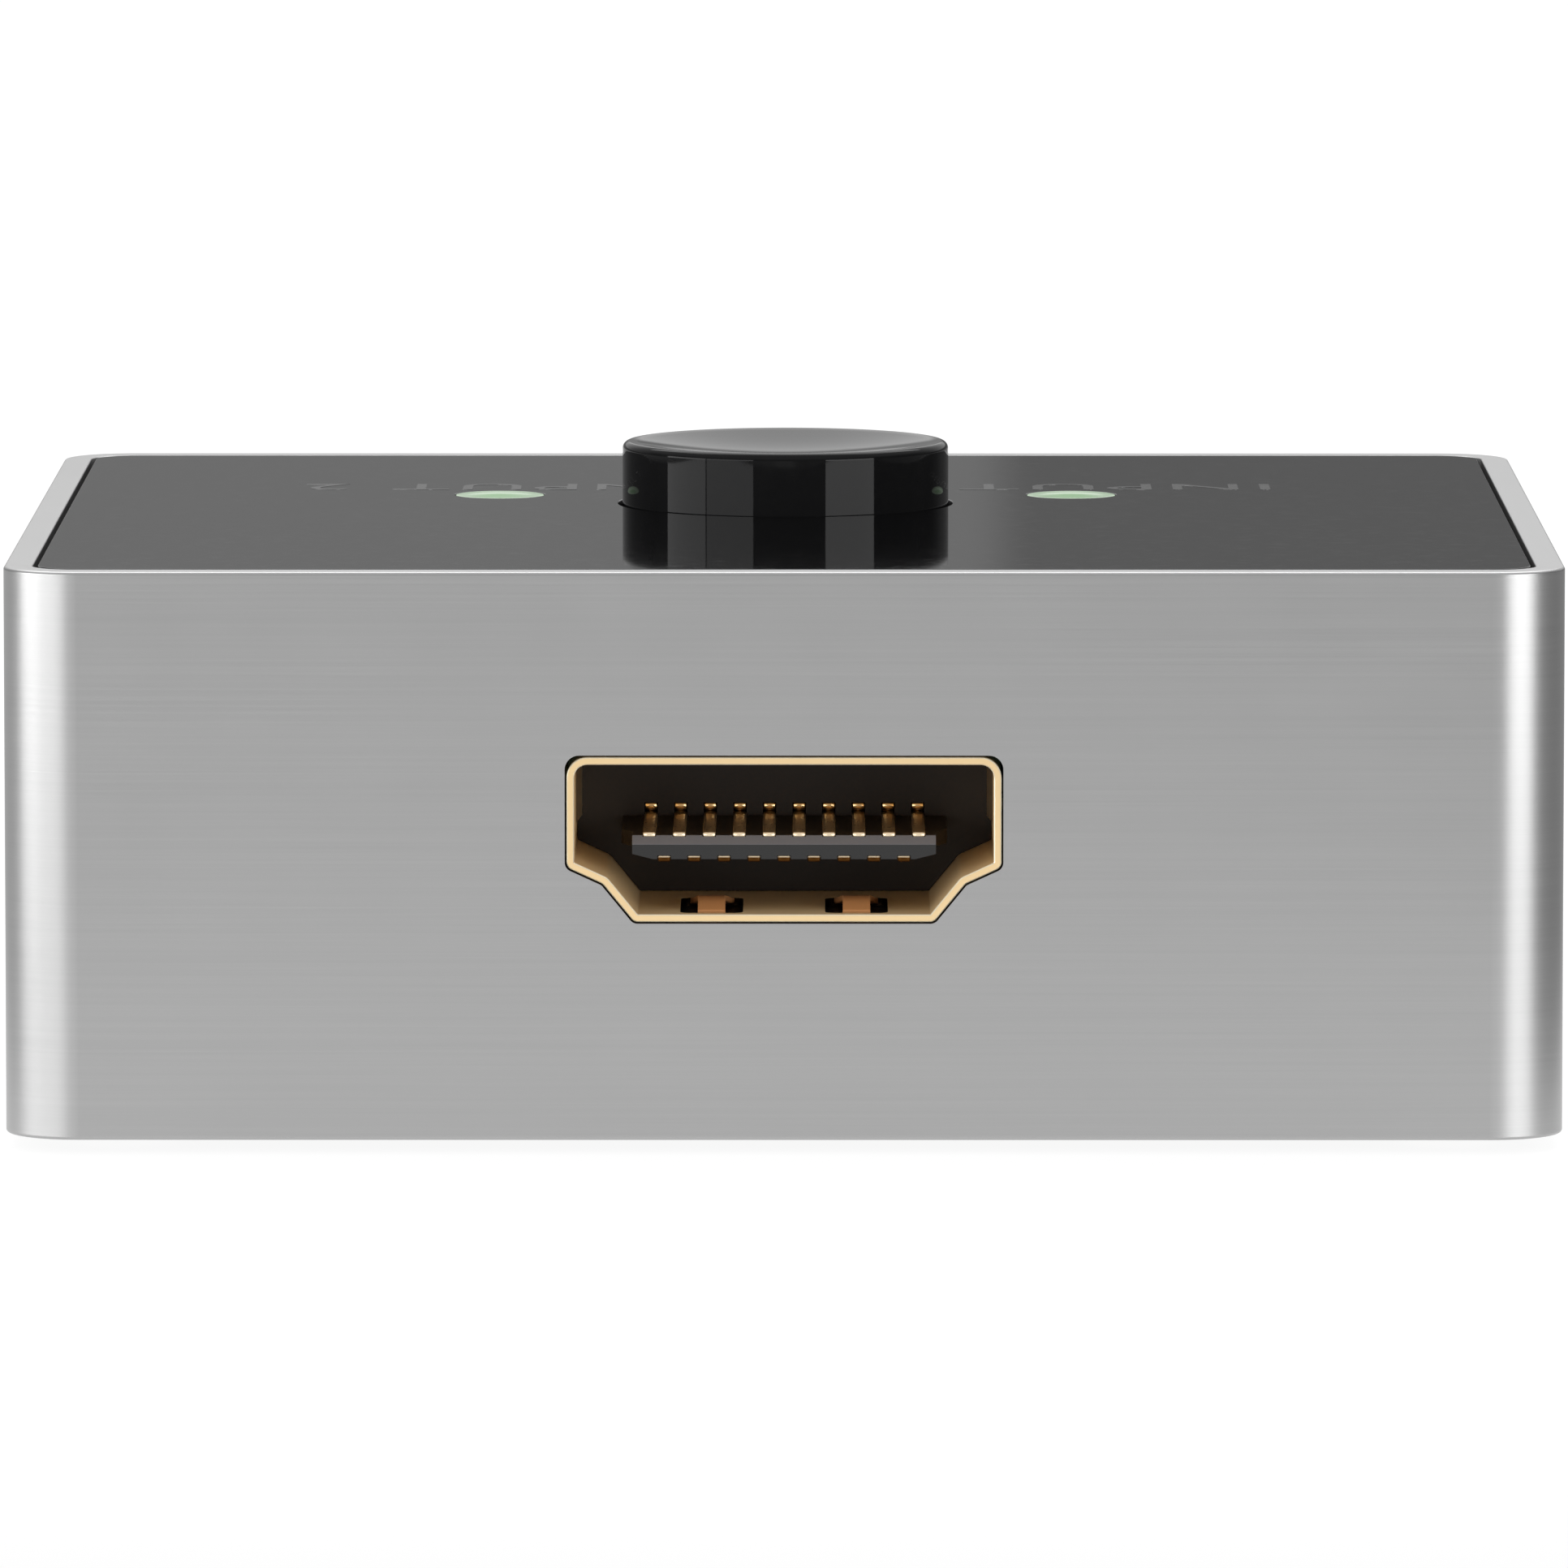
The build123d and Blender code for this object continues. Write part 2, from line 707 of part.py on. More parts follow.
# ---- cheese-head screws that hold the board to two of the plate's posts ----
with BuildPart() as board_screws:
    with BuildSketch(Plane.XY.offset(board_top)):
        with Locations(*board_screw_places):
            Circle(screw_head / 2)
    extrude(amount=board_head_height)
    with BuildSketch(Plane.XY.offset(board_top)):
        with Locations(*board_screw_places):
            Circle(screw_shank / 2)
    extrude(amount=-board_screw_length)
board_screws.part.label = "board_screws"
export_step(board_screws.part, "parts/board_screws.step")

# ---- light pipes: round window, square flange under the panel, and a stem down to the lamp ----
lamp_height = 0.7
pipe_bottom = board_top + lamp_height + 0.3
for number, place in enumerate(window_places, start=1):
    with BuildPart() as light_pipe:
        with BuildSketch(Plane.XY.offset(ledge_top)):
            with Locations(place):
                Circle(window_diameter / 2)
        extrude(amount=body_top - ledge_top)
        with BuildSketch(Plane.XY.offset(ledge_top)):
            with Locations(place):
                Rectangle(pipe_flange, pipe_flange)
        extrude(amount=-pipe_flange_height)
        with BuildSketch(Plane.XY.offset(pipe_bottom)):
            with Locations(place):
                Rectangle(pipe_stem, pipe_stem)
        extrude(amount=ledge_top - pipe_bottom)
    light_pipe.part.label = f"light_pipe_{number}"
    export_step(light_pipe.part, f"parts/light_pipe_{number}.step")


def board_parts(places, length, breadth, tall, edge=0.0):
    """A group of like parts standing on the board, each a block with its upright edges bevelled."""
    with BuildPart() as group:
        with BuildSketch(Plane.XY.offset(board_top)):
            with Locations(*places):
                Rectangle(length, breadth)
        extrude(amount=tall)
        if edge:
            chamfer(group.edges().group_by(Axis.Z)[-1], edge)
    return group


# ---- parts on the board ----
status_lamps = board_parts(window_places, 1.6, 0.8, lamp_height, 0.1)
status_lamps.part.label = "status_lamps"
export_step(status_lamps.part, "parts/status_lamps.step")

switch_chip = board_parts([(-11.5, -3.2)], 7.0, 7.0, 0.9, 0.15)
switch_chip.part.label = "switch_chip"
export_step(switch_chip.part, "parts/switch_chip.step")

crystal_can = board_parts([(-4.6, -6.0)], 2.0, 2.5, 0.7, 0.1)
crystal_can.part.label = "crystal_can"
export_step(crystal_can.part, "parts/crystal_can.step")

surge_arrays = board_parts([(x, y) for x in (9.5, 13.5) for y in (-7.5, -3.5)], 2.5, 1.0, 0.6)
surge_arrays.part.label = "surge_arrays"
export_step(surge_arrays.part, "parts/surge_arrays.step")

capacitor_places = [(-17.3, y) for y in (-7.2, -4.6, -2.0, 0.6)] + [(x, 2.4) for x in (-14.5, -11.5, -8.5)]
capacitors = board_parts(capacitor_places, 1.0, 1.8, 0.8)
capacitors.part.label = "capacitors"
export_step(capacitors.part, "parts/capacitors.step")

resistor_places = [(x, 0.5) for x in (7.0, 9.0, 11.0, 13.0, 15.0)] + [(17.0, y) for y in (-7.0, -4.5, -2.0)]
resistors = board_parts(resistor_places, 0.8, 1.6, 0.45)
resistors.part.label = "resistors"
export_step(resistors.part, "parts/resistors.step")
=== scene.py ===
import math

import bmesh
import bpy
from mathutils import Matrix, Vector


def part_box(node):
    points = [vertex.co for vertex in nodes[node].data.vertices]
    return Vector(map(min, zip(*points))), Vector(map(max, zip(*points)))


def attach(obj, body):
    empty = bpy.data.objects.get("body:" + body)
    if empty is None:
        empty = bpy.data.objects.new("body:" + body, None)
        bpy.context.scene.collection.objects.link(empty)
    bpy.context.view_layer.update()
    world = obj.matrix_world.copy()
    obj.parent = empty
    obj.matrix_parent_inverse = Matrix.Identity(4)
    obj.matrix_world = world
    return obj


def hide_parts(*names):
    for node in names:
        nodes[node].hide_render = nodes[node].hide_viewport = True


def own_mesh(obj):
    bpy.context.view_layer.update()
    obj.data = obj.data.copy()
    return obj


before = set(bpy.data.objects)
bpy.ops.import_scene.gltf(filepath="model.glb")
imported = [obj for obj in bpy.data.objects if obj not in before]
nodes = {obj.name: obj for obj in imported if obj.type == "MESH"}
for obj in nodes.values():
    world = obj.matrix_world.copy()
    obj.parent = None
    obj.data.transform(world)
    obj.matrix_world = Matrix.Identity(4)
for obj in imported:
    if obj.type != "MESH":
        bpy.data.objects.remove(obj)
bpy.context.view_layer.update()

MM = 0.001


# ---------------------------------------------------------------------------------------------
# Housing. One ring of aluminium, brushed round its sides and clear anodised, with corner blocks
# inside for the screws. It is stepped for the panel above and the plate below, and the three
# socket cut-outs are milled through its wall.
class Value:
    """A number that changes over a surface; arithmetic on it becomes Math nodes."""

    def __init__(self, finish, socket):
        self.finish = finish
        self.socket = socket

    def math(self, operation, *operands):
        return self.finish.node("ShaderNodeMath", {"operation": operation}, dict(enumerate(operands)))

    def __add__(self, other):
        return self.math("ADD", self, other)

    def __radd__(self, other):
        return self.math("ADD", other, self)

    def __sub__(self, other):
        return self.math("SUBTRACT", self, other)

    def __rsub__(self, other):
        return self.math("SUBTRACT", other, self)

    def __mul__(self, other):
        return self.math("MULTIPLY", self, other)

    def __rmul__(self, other):
        return self.math("MULTIPLY", other, self)

    def __abs__(self):
        return self.math("ABSOLUTE", self)

    def span(self, low, high):
        """0 below low, 1 above high and smooth in between."""
        inputs = {"Value": self, "From Min": low, "From Max": high}
        return self.finish.node("ShaderNodeMapRange", {"interpolation_type": "SMOOTHSTEP"}, inputs)


class Finish:
    """One material; node() adds any kind of node and vary() feeds its surface."""

    def __init__(self, name, constants=None, tree=None):
        if tree is None:
            self.material = bpy.data.materials.new(name)
            self.material.use_nodes = True
            tree = self.material.node_tree
            tree.nodes.clear()
            self.surface = tree.nodes.new("ShaderNodeBsdfPrincipled")
            output = tree.nodes.new("ShaderNodeOutputMaterial")
            tree.links.new(self.surface.outputs[0], output.inputs["Surface"])
            for socket, value in (constants or {}).items():
                self.surface.inputs[socket].default_value = value
        self.tree = tree

    def node(self, kind, settings, inputs, output=0):
        made = self.tree.nodes.new(kind)
        for key, value in settings.items():
            setattr(made, key, value)
        for key, value in inputs.items():
            self.join(value, made.inputs[key])
        return Value(self, made.outputs[output])

    def join(self, value, socket):
        if isinstance(value, Value):
            self.tree.links.new(value.socket, socket)
        else:
            socket.default_value = value

    def vary(self, **inputs):
        for key, value in inputs.items():
            self.join(value, self.surface.inputs[key.replace("_", " ")])

    def place(self, x=1000.0, y=1000.0, z=1000.0):
        """The piece's own coordinates, in millimetres unless stretched."""
        seat = self.node("ShaderNodeTexCoord", {}, {}, "Object")
        return self.node("ShaderNodeMapping", {}, {"Vector": seat, "Scale": (x, y, z)})

    def painted(self, name):
        """A value that the mesh carries on its points or faces."""
        return self.node("ShaderNodeAttribute", {"attribute_name": name}, {}, "Fac")

    def axis(self, name, where=None):
        """One coordinate of a vector."""
        where = where or self.node("ShaderNodeTexCoord", {}, {}, "Object")
        return self.node("ShaderNodeSeparateXYZ", {}, {"Vector": where}, name)

    def noise(self, where, scale=1.0, detail=3.0, roughness=0.5):
        inputs = {"Vector": where, "Scale": scale, "Detail": detail, "Roughness": roughness}
        return self.node("ShaderNodeTexNoise", {}, inputs, 0)

    def cells(self, where, scale):
        return self.node("ShaderNodeTexVoronoi", {}, {"Vector": where, "Scale": scale}, "Distance")

    def blend(self, factor, first, second):
        """A colour between two others, by a factor from 0 to 1."""
        ends = [(*colour, 1.0) if isinstance(colour, tuple) else colour for colour in (first, second)]
        return self.node("ShaderNodeMix", {"data_type": "RGBA"}, {0: factor, 6: ends[0], 7: ends[1]}, 2)

    def bump(self, height, strength, distance):
        inputs = {"Height": height, "Strength": strength, "Distance": distance}
        return self.node("ShaderNodeBump", {}, inputs)

    def wears(self, *pieces):
        for piece in pieces:
            piece.data.materials.clear()
            piece.data.materials.append(self.material)


def outline(corners, radii, inset=0.0, steps=8, support=0.0):
    """A closed polygon with rounded corners, moved inwards; support adds a point beside each arc."""
    points = []
    for i, radius in enumerate(radii):
        before, here, after = (Vector(corners[(i + k) % len(corners)]) for k in (-1, 0, 1))
        into, out = (here - before).normalized(), (after - here).normalized()
        side = 1 if into.x * out.y - into.y * out.x > 0 else -1
        half = math.acos(max(-1.0, min(1.0, into.dot(out)))) / 2
        left = Vector((-into.y, into.x))
        inward = (left + Vector((-out.y, out.x))).normalized()
        radius = max(radius - side * inset, 0.02 * MM)
        start = here + inward * inset / math.cos(half) - into * radius * math.tan(half)
        centre = start + left * radius * side
        arc = [
            centre + Matrix.Rotation(side * 2 * half * step / steps, 2) @ (start - centre)
            for step in range(steps + 1)
        ]
        points += ([arc[0] - into * support] + arc + [arc[-1] + out * support]) if support else arc
    return points


def rectangle(half_x, half_y, x=0.0, y=0.0):
    left, right, near, far = x - half_x, x + half_x, y - half_y, y + half_y
    return [(left, near), (right, near), (right, far), (left, far)]


def arc(x, y, radius, first, last, steps):
    """Points of an arc, angles in degrees."""
    angles = [math.radians(first + (last - first) * k / steps) for k in range(steps + 1)]
    return [(x + radius * math.cos(a), y + radius * math.sin(a)) for a in angles]


def finished(name, shape):
    bmesh.ops.recalc_face_normals(shape, faces=shape.faces)
    mesh = bpy.data.meshes.new(name)
    shape.to_mesh(mesh)
    shape.free()
    piece = bpy.data.objects.new(name, mesh)
    bpy.context.scene.collection.objects.link(piece)
    return piece


def skin(name, rings, closed=False):
    """A surface through rings of points: a closed tube, or a block with flat ends."""
    shape = bmesh.new()
    loops = [[shape.verts.new(point) for point in ring] for ring in rings]
    pairs = zip(loops, loops[1:] + loops[:1]) if closed else zip(loops, loops[1:])
    for ring, beyond in pairs:
        for i in range(len(ring)):
            j = (i + 1) % len(ring)
            shape.faces.new((ring[i], ring[j], beyond[j], beyond[i]))
    if not closed:
        shape.faces.new(loops[0])
        shape.faces.new(loops[-1])
    return finished(name, shape)


def prism(name, points, low, high):
    """A straight block on a closed outline."""
    return skin(name, [[(*p, z) for p in points] for z in (low, high)])


def settle(piece):
    """Applies a piece's modifiers and leaves it a plain mesh."""
    bpy.context.view_layer.update()
    seen = piece.evaluated_get(bpy.context.evaluated_depsgraph_get())
    mesh = bpy.data.meshes.new_from_object(seen)
    piece.modifiers.clear()
    piece.data = mesh
    return piece


def joined(piece, *others, operation="UNION"):
    """Adds other blocks to a piece, or cuts it with them; they are used up."""
    for other in others:
        change = piece.modifiers.new("change", "BOOLEAN")
        change.operation = operation
        change.solver = "EXACT"
        change.object = other
        settle(piece)
        bpy.data.objects.remove(other)
    return piece


def cut(piece, *tools):
    return joined(piece, *tools, operation="DIFFERENCE")


def softened(piece, edge=0.0, angle=30.0, segments=2):
    """Breaks the sharp edges by a small amount and shades the faces smoothly."""
    if edge:
        bevel = piece.modifiers.new("edge", "BEVEL")
        bevel.width = edge
        bevel.segments = segments
        bevel.limit_method = "ANGLE"
        bevel.angle_limit = math.radians(angle)
        settle(piece)
    for face in piece.data.polygons:
        face.use_smooth = True
    piece.data.set_sharp_from_angle(angle=math.radians(angle if not edge else 50.0))
    piece.modifiers.new("weights", "WEIGHTED_NORMAL").keep_sharp = True
    return settle(piece)


def dressed(piece, finish, body, slot, *replaced):
    """Gives a piece its finish and its body and hides the CAD nodes that it stands for; slot is not used."""
    finish.wears(piece)
    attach(piece, body)
    if replaced:
        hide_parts(*replaced)
    return piece


socket_half_height = 2.76 * MM
socket_half_width = 7.25 * MM


def port_matrix(shell):
    """From a socket's own frame, x across, y up and z out of its mouth, to its place in the box."""
    low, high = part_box(shell)
    side = -1 if low.y < 0 else 1
    matrix = Matrix(((-side, 0, 0, 0), (0, 0, side, 0), (0, 1, 0, 0), (0, 0, 0, 1)))
    mouth_y = low.y if side < 0 else high.y
    matrix.translation = ((low.x + high.x) / 2, mouth_y, high.z - socket_half_height)
    return matrix


ports = {name: port_matrix(f"{name}_shell") for name in ("output", "input_1", "input_2")}
socket_corners = [
    (5.0 * MM, -socket_half_height),
    (6.05 * MM, -1.48 * MM),
    (socket_half_width, -0.93 * MM),
    (socket_half_width, socket_half_height),
]
socket_corners += [(-x, y) for x, y in reversed(socket_corners)]
low_radii = [0.3 * MM] * 3
socket_radii = low_radii + [0.7 * MM] * 2 + low_radii

ring_low, ring_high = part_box("housing")
panel_low, panel_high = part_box("top_panel")
screws_low, screws_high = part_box("base_screws")
rim = 0.98 * MM
wall = 1.8 * MM
edge = 0.11 * MM
outer_corner = 2.5 * MM
plate_thickness = 1.5 * MM
carrier_thickness = 1.2 * MM
boss_reach = 2.4 * MM
screw_head_radius = 1.7 * MM
top, bottom = ring_high.z, ring_low.z
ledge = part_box("panel_adhesive")[0].z
plate_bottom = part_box("base_plate")[0].z
plate_top = plate_bottom + plate_thickness
section = arc(edge, top - edge, edge, 180, 90, 4)
section += arc(rim - edge / 2, top - edge / 2, edge / 2, 90, 0, 3)
section += [(rim, ledge), (wall, ledge), (wall, plate_top), (rim, plate_top)]
section += arc(rim - edge / 2, bottom + edge / 2, edge / 2, 0, -90, 3)
section += arc(edge, bottom + edge, edge, -90, -180, 4)
ring_corners = rectangle(ring_high.x, ring_high.y)
rings = []
for inset, height in section:
    ring = outline(ring_corners, [outer_corner] * 4, inset, 16, 0.05 * MM)
    rings.append([(*point, height) for point in ring])
housing = skin("ring_housing", rings, closed=True)
cutout_radii = [0.25 * MM] * 3 + [0.42 * MM] * 2 + [0.25 * MM] * 3
cutout = outline(socket_corners, cutout_radii, -0.06 * MM)
for matrix in ports.values():
    opening = prism("cut", cutout, -3 * MM, MM)
    opening.data.transform(matrix)
    cut(housing, opening)
screw_x = screws_high.x - screw_head_radius
screw_y = screws_high.y - screw_head_radius
for x in (-screw_x, screw_x):
    for y in (-screw_y, screw_y):
        block = rectangle(boss_reach, boss_reach, x, y)
        joined(housing, prism("block", block, plate_top, ledge - carrier_thickness))
softened(housing, angle=25.0)


def mark(piece, name, chosen):
    """Writes 1 on the faces that chosen() picks and 0 on the others."""
    marks = piece.data.attributes.new(name, "FLOAT", "FACE")
    for face in piece.data.polygons:
        marks.data[face.index].value = 1.0 if chosen(face) else 0.0


mark(housing, "crown", lambda face: face.normal.z > 0.95)
anodised = Finish("brushed_anodised_aluminium", {"Metallic": 1.0})
streaks = anodised.noise(anodised.place(14.0, 14.0, 9000.0), 1.0, 4.0, 0.6)
hairs = anodised.noise(anodised.place(160.0, 160.0, 26000.0), 1.0, 3.0, 0.6)
clouds = anodised.noise(anodised.place(), 0.35, 2.0)
grain = 0.6 * streaks + 0.4 * hairs
crown = anodised.painted("crown")
brushed = anodised.blend(grain, (0.392, 0.392, 0.394), (0.464, 0.464, 0.462))
anodised.vary(
    Base_Color=anodised.blend(crown, brushed, (0.40, 0.40, 0.40)),
    Roughness=0.29 + 0.10 * grain + 0.05 * clouds + 0.12 * crown,
    Normal=anodised.bump(grain * (1.0 - crown), 0.10, 0.00002),
)
dressed(housing, anodised, "root", "anodised_aluminium", "housing")


# ---------------------------------------------------------------------------------------------
# Top panel. A sheet of black acrylic with a polished face, let into the ring with a fine gap all
# round, and drilled for the button and the two status windows. Its edges are just broken.
cap_low, cap_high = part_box("button_cap")
cap_centre = (cap_low + cap_high) / 2
pipe_boxes = [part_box(f"light_pipe_{number}") for number in (1, 2)]
pipe_centres = [(low + high) / 2 for low, high in pipe_boxes]


def circle(x, y, radius, count=96):
    return arc(x, y, radius, 0, 360 - 360 / count, count - 1)


panel_corner = 1.45 * MM
button_hole_radius = 5.85 * MM
window_hole_radius = 1.58 * MM
broken_edge = 0.035 * MM
panel_outline = outline(rectangle(panel_high.x, panel_high.y), [panel_corner] * 4)
panel = prism("gloss_panel", panel_outline, panel_low.z, panel_high.z)
beyond = (panel_low.z - MM, panel_high.z + MM)
cut(panel, prism("hole", circle(cap_centre.x, cap_centre.y, button_hole_radius, 128), *beyond))
for centre in pipe_centres:
    cut(panel, prism("hole", circle(centre.x, centre.y, window_hole_radius, 64), *beyond))
softened(panel, broken_edge)

acrylic = Finish("polished_black_acrylic", {"IOR": 1.49})
haze = acrylic.noise(acrylic.place(), 1.7, 4.0, 0.6)
specks = acrylic.cells(acrylic.place(), 0.9).span(0.035, 0.02)
acrylic.vary(
    Base_Color=acrylic.blend(specks, (0.0016, 0.0016, 0.0018), (0.012, 0.012, 0.012)),
    Roughness=0.045 + 0.03 * haze.span(0.45, 0.75),
    Normal=acrylic.bump(acrylic.noise(acrylic.place(), 0.12, 2.0), 0.05, 0.00002),
)
dressed(panel, acrylic, "root", "panel_acrylic", "top_panel")


# ---------------------------------------------------------------------------------------------
# Legend. A plain word and number beside each window, screen-printed in thin grey ink and read
# from the input side.
letter_height = 3.35 * MM
legend_width = 13.6 * MM
legend_x = 10.1 * MM
legend_y = 9.5 * MM
ink_thickness = 0.003 * MM
ink_lift = 0.004 * MM


def printed(name, words, seat, width):
    """Letters of ink at a place on the panel, stretched to a width and turned to the input side."""
    text = bpy.data.curves.new(name, "FONT")
    text.body = words
    text.size = letter_height
    text.align_x = "CENTER"
    text.align_y = "CENTER"
    text.space_character = 1.12
    text.extrude = ink_thickness
    letters = bpy.data.objects.new(name, text)
    bpy.context.scene.collection.objects.link(letters)
    bpy.context.view_layer.update()
    mesh = bpy.data.meshes.new_from_object(letters)
    bpy.data.objects.remove(letters)
    across = [v.co.x for v in mesh.vertices]
    stretch = width / (max(across) - min(across))
    half_turn = Matrix.Rotation(math.pi, 4, "Z")
    mesh.transform(Matrix.Translation(seat) @ half_turn @ Matrix.Diagonal((stretch, 1, 1, 1)))
    piece = bpy.data.objects.new(name, mesh)
    bpy.context.scene.collection.objects.link(piece)
    return piece


ink = Finish("grey_screen_ink", {"IOR": 1.49})
cover = ink.noise(ink.place(), 6.0, 3.0, 0.6)
ink.vary(
    Base_Color=ink.blend(cover, (0.09, 0.09, 0.09), (0.15, 0.15, 0.15)),
    Roughness=0.05 + 0.06 * cover,
)
for number, centre in enumerate(pipe_centres, start=1):
    seat = (math.copysign(legend_x, centre.x), legend_y, panel_high.z + ink_lift)
    legend = printed(f"legend_{number}", f"INPUT {number}", seat, legend_width)
    dressed(legend, ink, "root", "panel_acrylic")


# ---------------------------------------------------------------------------------------------
# Button cap. A round cup of polished black plastic, its top dished for the fingertip and its
# edge rounded over, on a square flange under the panel that keeps it in and stops it turning.
def turned(name, profile, centre, segments=128):
    """A profile of (radius, height) points spun about a vertical line; it starts and ends on it."""
    shape = bmesh.new()
    rings = []
    for radius, height in profile:
        points = circle(centre.x, centre.y, radius, segments) if radius > 1e-9 else [(centre.x, centre.y)]
        rings.append([shape.verts.new((*point, height)) for point in points])
    for ring, beyond in zip(rings, rings[1:]):
        for i in range(segments):
            j = (i + 1) % segments
            if len(ring) == 1:
                shape.faces.new((ring[0], beyond[i], beyond[j]))
            elif len(beyond) == 1:
                shape.faces.new((ring[i], ring[j], beyond[0]))
            else:
                shape.faces.new((ring[i], ring[j], beyond[j], beyond[i]))
    return finished(name, shape)


cap_radius = 5.7 * MM
cap_edge = 0.26 * MM
dish = 0.5 * MM
cap_top = cap_high.z + 0.03 * MM
dish_sphere = (cap_radius**2 + dish**2) / (2 * dish)
dish_rim = cap_radius - cap_edge
flange_half = 6.5 * MM
stem_half = 1.7 * MM
flange_gap = 0.1 * MM
flange_thickness = 0.9 * MM
cap_thickness = 1.5 * MM
overlap = 0.1 * MM
flange_top = panel_low.z - flange_gap
flange_bottom = flange_top - flange_thickness
bore = 4.7 * MM
bore_relief = 0.3 * MM
ceiling = cap_top - cap_thickness
profile = []
for k in range(17):
    radius = dish_rim * k / 16
    profile.append((radius, cap_top - dish + dish_sphere - math.sqrt(dish_sphere**2 - radius**2)))
profile += arc(dish_rim, profile[-1][1] - cap_edge, cap_edge, 84, 0, 8)
profile += [(cap_radius, flange_bottom), (bore, flange_bottom), (bore, ceiling), (0.0, ceiling)]
cap = turned("button_cap_polished", profile, cap_centre)
square = rectangle(flange_half, flange_half, cap_centre.x, cap_centre.y)
flange = prism("flange", square, flange_bottom, flange_top)
cut(flange, prism("bore", circle(cap_centre.x, cap_centre.y, bore + bore_relief), cap_low.z, cap_high.z))
stem_outline = rectangle(stem_half, stem_half, cap_centre.x, cap_centre.y)
joined(cap, flange)
joined(cap, prism("stem", stem_outline, cap_low.z, ceiling + overlap))
softened(cap)


def radial(piece, centre, reach):
    """Writes each point's distance from a vertical line, as a share of the reach."""
    shares = piece.data.attributes.new("radial", "FLOAT", "POINT")
    for vertex in piece.data.vertices:
        shares.data[vertex.index].value = math.hypot(vertex.co.x - centre.x, vertex.co.y - centre.y) / reach


radial(cap, cap_centre, cap_radius)
mark(cap, "dish", lambda face: face.normal.z > 0.95 and face.center.z > cap_top - 2 * dish)
gloss_black = Finish("polished_black_plastic", {"IOR": 1.2})
touch = gloss_black.noise(gloss_black.place(), 2.2, 4.0, 0.6)
dished = gloss_black.painted("dish")
from_axis = gloss_black.painted("radial")
plain_black = gloss_black.blend(touch, (0.006, 0.006, 0.0064), (0.009, 0.009, 0.0093))
# painted sheen: the dish is painted lighter than the rest of the cap, most of all towards its rim, as a painted
# reflection
painted_dish_sheen = gloss_black.blend(from_axis * from_axis, (0.034, 0.034, 0.035), (0.12, 0.12, 0.12))
gloss_black.vary(
    Base_Color=gloss_black.blend(dished, plain_black, painted_dish_sheen),
    Roughness=0.035 + 0.05 * touch.span(0.5, 0.8),
    Normal=gloss_black.bump(gloss_black.noise(gloss_black.place(), 0.5, 2.0), 0.04, 0.00002),
)
dressed(cap, gloss_black, "button", "button_plastic", "button_cap")


# ---------------------------------------------------------------------------------------------
# Status windows. The tops of two milky light pipes, level with the panel; a square flange traps
# each under the panel and a stem leads down to its lamp. They glow a pale green.
milky = Finish("milky_green_acrylic", {"Roughness": 0.12, "IOR": 1.49, "Emission Strength": 1.0})
window = 1.55 * MM
window_edge = 0.04 * MM
pipe_stem_half = 1.2 * MM
pipe_flange_height = 0.8 * MM
for number, ((low, high), centre) in enumerate(zip(pipe_boxes, pipe_centres), start=1):
    face, root = high.z - window_edge, ledge - pipe_flange_height / 2
    profile = [(0.0, face), (0.6 * MM, face), (1.1 * MM, face)]
    profile += arc(window - window_edge, face, window_edge, 90, 0, 4)
    profile += [(window, root), (0.0, root)]
    pipe = turned(f"status_window_{number}", profile, centre, 64)
    half = (high - low) / 2
    joined(
        pipe,
        prism("flange", rectangle(half.x, half.y, centre.x, centre.y), ledge - pipe_flange_height, ledge),
        prism("stem", rectangle(pipe_stem_half, pipe_stem_half, centre.x, centre.y), low.z, root),
    )
    softened(pipe)
    radial(pipe, centre, window)
    dressed(pipe, milky, "root", "light_pipe_acrylic", f"light_pipe_{number}")
from_middle = milky.painted("radial")
outward = 0.7 * from_middle.span(0.1, 0.95) + 0.3 * milky.noise(milky.place(), 1.6)
milky.vary(
    Base_Color=milky.blend(outward, (0.22, 0.33, 0.20), (0.36, 0.42, 0.34)),
    Emission_Color=milky.blend(outward, (0.07, 0.20, 0.06), (0.15, 0.21, 0.14)),
)


# ---------------------------------------------------------------------------------------------
# Socket shells. Thin steel sheet folded to the plug's outline and plated with gold: two bowed
# spring fingers in the floor, a lug in each side wall, four legs into the board, and a roof that
# runs back and folds down behind the contact tails.
sheet = 0.25 * MM
break_edge = 0.035 * MM
depth = 10.9 * MM
low_wall = sheet - socket_half_height
finger_x = 2.42 * MM
finger_root = -5.1
finger_length = 4.3
finger_rise = 0.40 * MM
crest = 0.75
finger_half = 0.46
root_flare = 0.30
flare_end = 0.55


def box_between(name, low, high):
    """A block between two corners given in millimetres."""
    middle = [(a + b) / 2 * MM for a, b in zip(low, high)]
    half = [(b - a) / 2 * MM for a, b in zip(low, high)]
    return prism(name, rectangle(half[0], half[1], middle[0], middle[1]), low[2] * MM, high[2] * MM)


